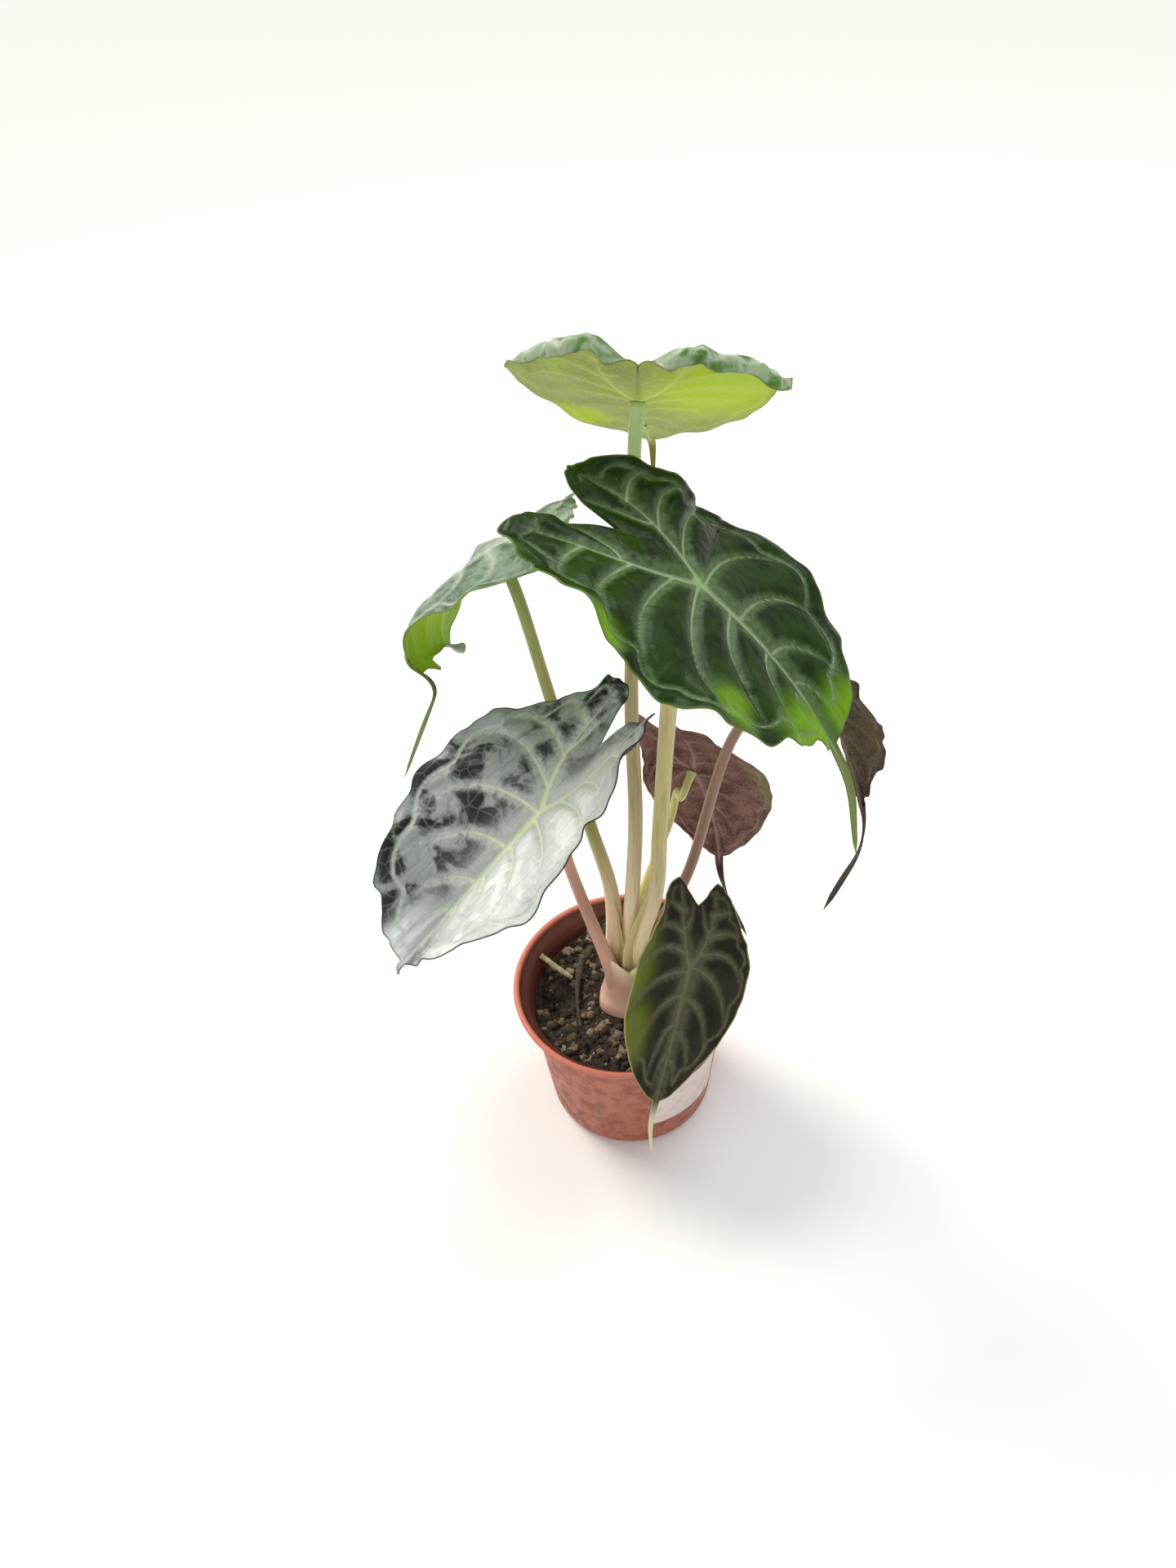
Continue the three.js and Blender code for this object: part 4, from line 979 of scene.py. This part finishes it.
# Smooth fleshy stalk: cream at the foot, deeper up its length, with faint lengthwise streaks.
def stalkSkin(leaf, name):
    material, tree = newMaterial(name + "_stalk_skin")
    foot, middle, top = (linear(c) for c in leaf["petiole"])
    share = addNode(tree, "Attribute", attribute_name="share").outputs["Fac"]
    flat = addNode(tree, "Attribute", attribute_name="flat").outputs["Vector"]
    lengthwise = addNode(tree, "Mapping", {"Vector": flat, "Scale": (1, 0.04, 1)}).outputs[0]
    stops = [(0.18, foot), (0.42, middle), (0.75, middle), (0.97, top)]
    plain = addNode(tree, "ValToRGB", {"Fac": share}, stops).outputs[0]
    darker = {0: 1, 6: plain, 7: linear("#cecbc4")}
    darker = addNode(tree, "Mix", darker, data_type="RGBA", blend_type="MULTIPLY").outputs[2]
    colour, streak = blotched(tree, lengthwise, 1.1, plain, darker, 0.46, 0.72, 0.6, rough=0.6)
    skin = {
        "Base Color": colour, "Roughness": 0.38, "IOR": 1.42, "Subsurface Weight": 0.25,
        "Subsurface Radius": (0.003, 0.0025, 0.001), "Subsurface Scale": 0.5}
    surface(tree, skin, [(streak, 0.25, 0.4)])
    return material


# A stalk's centre line: out of the stem's foot, along its route, and square into the blade.
def petioleLine(leaf):
    bend = bladeBend(leaf)
    step, zero = np.array([0.1]), np.array([0.0])
    across = bend(step, zero) - bend(-step, zero)
    along = bend(zero, step) - bend(zero, -step)
    up = rowwise(np.cross(across, along))[0]
    (x, y), *rest = leaf["route"]
    rooted, throat = 84, 97  # heights inside the stem's foot
    points = [np.array(p, float) for p in [(x * 0.8, y * 0.8, rooted), (x, y, throat), *rest]]
    end = np.array(leaf["attach"], float) - up * leaf.get("sink", 1.7)
    arrive = end - points[-1]
    arrive = arrive / np.linalg.norm(arrive) * 0.4 + up * 0.6
    arrive /= np.linalg.norm(arrive)
    return [*points, end - arrive * 14, end - arrive * 4, end]


def petiolePiece(key, leaf):
    node = "petiole_" + key
    foot, top, swell = leaf["thick"]

    def radiusAt(share, angle):
        radius = foot + (top - foot) * share + swell * np.exp(-share / 0.13)
        flare = 0.5 * np.exp(-(1 - share) / 0.02)
        return radius * (1 + 0.03 * np.sin(2 * angle)) + flare

    piece = tubePiece(node + "_stalk", petioleLine(leaf), radiusAt, 24, 150)
    keep(piece, [node], [stalkSkin(leaf, node)])


for key, leaf in leaves.items():
    bladePiece(key, leaf)
    petiolePiece(key, leaf)
    print("leaf", key)


stemFoot = {
    "middle": (-1, -0.5), "bottom": 63, "mouthLeft": 116, "mouthRight": 94, "floor": 92, "lip": 0.7,
    "outer": [  # radius and height
        (0, 63), (5, 63.4), (9.4, 65.6), (12.2, 69), (13.6, 74), (12.9, 79), (11.2, 85), (10, 92),
        (9.3, 100), (9, 116)],
    "highSide": 195, "ridge": 208, "ridgeWidth": 0.42,
    "skin": ("#dba790", "#ecc3ac", "#f3dcc4"), "streak": "#9c6a5c", "stain": "#e3c9b2",
}


# Fleshy pinkish-tan skin of the clasping foot, cream at its thin upper edge and streaked.
def footSkin():
    material, tree = newMaterial("fleshy_clasping_foot_skin")
    low, middle, high = (linear(c) for c in stemFoot["skin"])
    share = addNode(tree, "Attribute", attribute_name="share").outputs["Fac"]
    flat = addNode(tree, "Attribute", attribute_name="flat").outputs["Vector"]
    upward = addNode(tree, "Mapping", {"Vector": flat, "Scale": (1, 0.08, 1)}).outputs[0]
    stops = [(0.1, low), (0.35, middle), (0.7, low), (1.0, high)]
    colour = addNode(tree, "ValToRGB", {"Fac": share}, stops).outputs[0]
    colour, streak = blotched(
        tree, upward, 1.4, colour, linear(stemFoot["streak"]), 0.5, 0.75, 0.25, rough=0.6)
    colour, _ = blotched(
        tree, flat, 6, colour, linear(stemFoot["stain"]), 0.5, 0.75, 0.4, detail=4, rough=0.6)
    skin = {
        "Base Color": colour, "Roughness": 0.42, "IOR": 1.42, "Subsurface Weight": 0.2,
        "Subsurface Radius": (0.003, 0.0015, 0.001), "Subsurface Scale": 0.5}
    surface(tree, skin, [(streak, 0.3, 0.5)])
    return material


# Up the outside, over the thin lip of its sloping mouth and down inside to a floor.
def stemFootPiece():
    outer = np.array(stemFoot["outer"])
    bottom, floor, low, high = (stemFoot[k] for k in ("bottom", "floor", "mouthRight", "mouthLeft"))

    def place(u, v):
        angle = 2 * pi * u
        mouth = low + (high - low) * (1 + np.cos(angle - radians(stemFoot["highSide"]))) / 2
        wallShare = np.clip(v / 0.7, 0, 1)
        z = np.where(wallShare < 0.05, bottom, bottom + (mouth - bottom) * wallShare)
        r = np.interp(bottom + (mouth - bottom) * wallShare, outer[:, 1], outer[:, 0])
        r = r * np.clip(wallShare / 0.05, 0, 1)
        # a ridge where the lower left leaf's stalk grows out of it
        away = np.angle(np.exp(1j * (angle - radians(stemFoot["ridge"]))))
        ridge = np.exp(-((away / stemFoot["ridgeWidth"]) ** 2))
        r = r + ridge * (2 * smooth(z, 88, 112) + 1.2 * smooth(z, 70, 76) * smooth(z, 84, 78))
        r = r + 0.12 * np.sin(7 * angle + 1) * smooth(z, 66, 72)
        back = np.clip((v - 0.7) / 0.3, 0, 1)
        lipTurn, inside = np.clip(back / 0.15, 0, 1), np.clip((back - 0.15) / 0.85, 0, 1)
        z = z + 0.25 * np.sin(pi * lipTurn)
        z = np.where(back > 0.15, mouth + (floor - mouth) * smooth(inside, 0, 0.5), z)
        r = (r - stemFoot["lip"] * lipTurn) * (1 - smooth(inside, 0.4, 1.0))
        x = stemFoot["middle"][0] + r * np.cos(angle)
        y = stemFoot["middle"][1] + r * np.sin(angle)
        flat = np.stack([angle * 12, z, 0 * z], axis=1) * mm
        return np.stack([x, y, z], axis=1), {"share": wallShare, "flat": flat}

    piece = wrapGrid("stem_foot_skin", 96, 110, place)
    keep(piece, ["corm"], [footSkin()])


# Thin cream wings, the clasping margins of three stalks: which way each stands out, from what height
# to what height, and how wide it is.
wings = {
    "upper_left": {"facing": -58, "from": 96, "to": 150, "wide": 7.5},
    "front": {"facing": -150, "from": 96, "to": 158, "wide": 7.5},
    "crown": {"facing": -110, "from": 96, "to": 132, "wide": 2.6},
}
wingThickness = 0.35


# Papery cream sheath margin, thin enough to let light through.
def sheathSkin():
    material, tree = newMaterial("thin_cream_sheath_skin")
    flat = addNode(tree, "Attribute", attribute_name="flat").outputs["Vector"]
    upward = addNode(tree, "Mapping", {"Vector": flat, "Scale": (1, 0.06, 1)}).outputs[0]
    colour, _ = blotched(tree, upward, 0.9, linear("#e6dcae"), linear("#cfc088"), 0.4, 0.7, rough=0.6)
    surface(tree, {"Base Color": colour, "Roughness": 0.4, "IOR": 1.42}, (), 0.35, linear("#efe6b8"))
    return material


def wingPiece(key, wing):
    leaf = leaves[key]
    line, _ = curveThrough(petioleLine(leaf), 300)
    facing = radians(wing["facing"])
    outward = np.array((cos(facing), sin(facing), 0))
    turned = np.array((-sin(facing), cos(facing), 0))

    def place(u, v):
        z = wing["from"] + (wing["to"] - wing["from"]) * v
        middle = np.stack([np.interp(z, line[:, 2], line[:, k]) for k in range(3)], axis=1)
        width = wing["wide"] * (1 - v**2.2) + 0.05
        reach = leaf["thick"][0] * 0.8 + u * width
        curl = 1.4 * (u - 0.3) * u * np.cos(3 * v) - 0.9 * u**2
        points = middle + outward * reach[:, None] + turned * curl[:, None]
        flat = np.stack([u * width, z, 0 * z], axis=1) * mm
        return points, {"share": v * 0.3, "flat": flat}

    piece = wrapGrid("sheath_wing_" + key, 14, 60, place, closed=False)
    applied(piece, "SOLIDIFY", thickness=wingThickness * mm, offset=0)
    keep(piece, (), [wingSkin])


wingSkin = sheathSkin()
stemFootPiece()
for key, wing in wings.items():
    wingPiece(key, wing)
print("foot of the stem")
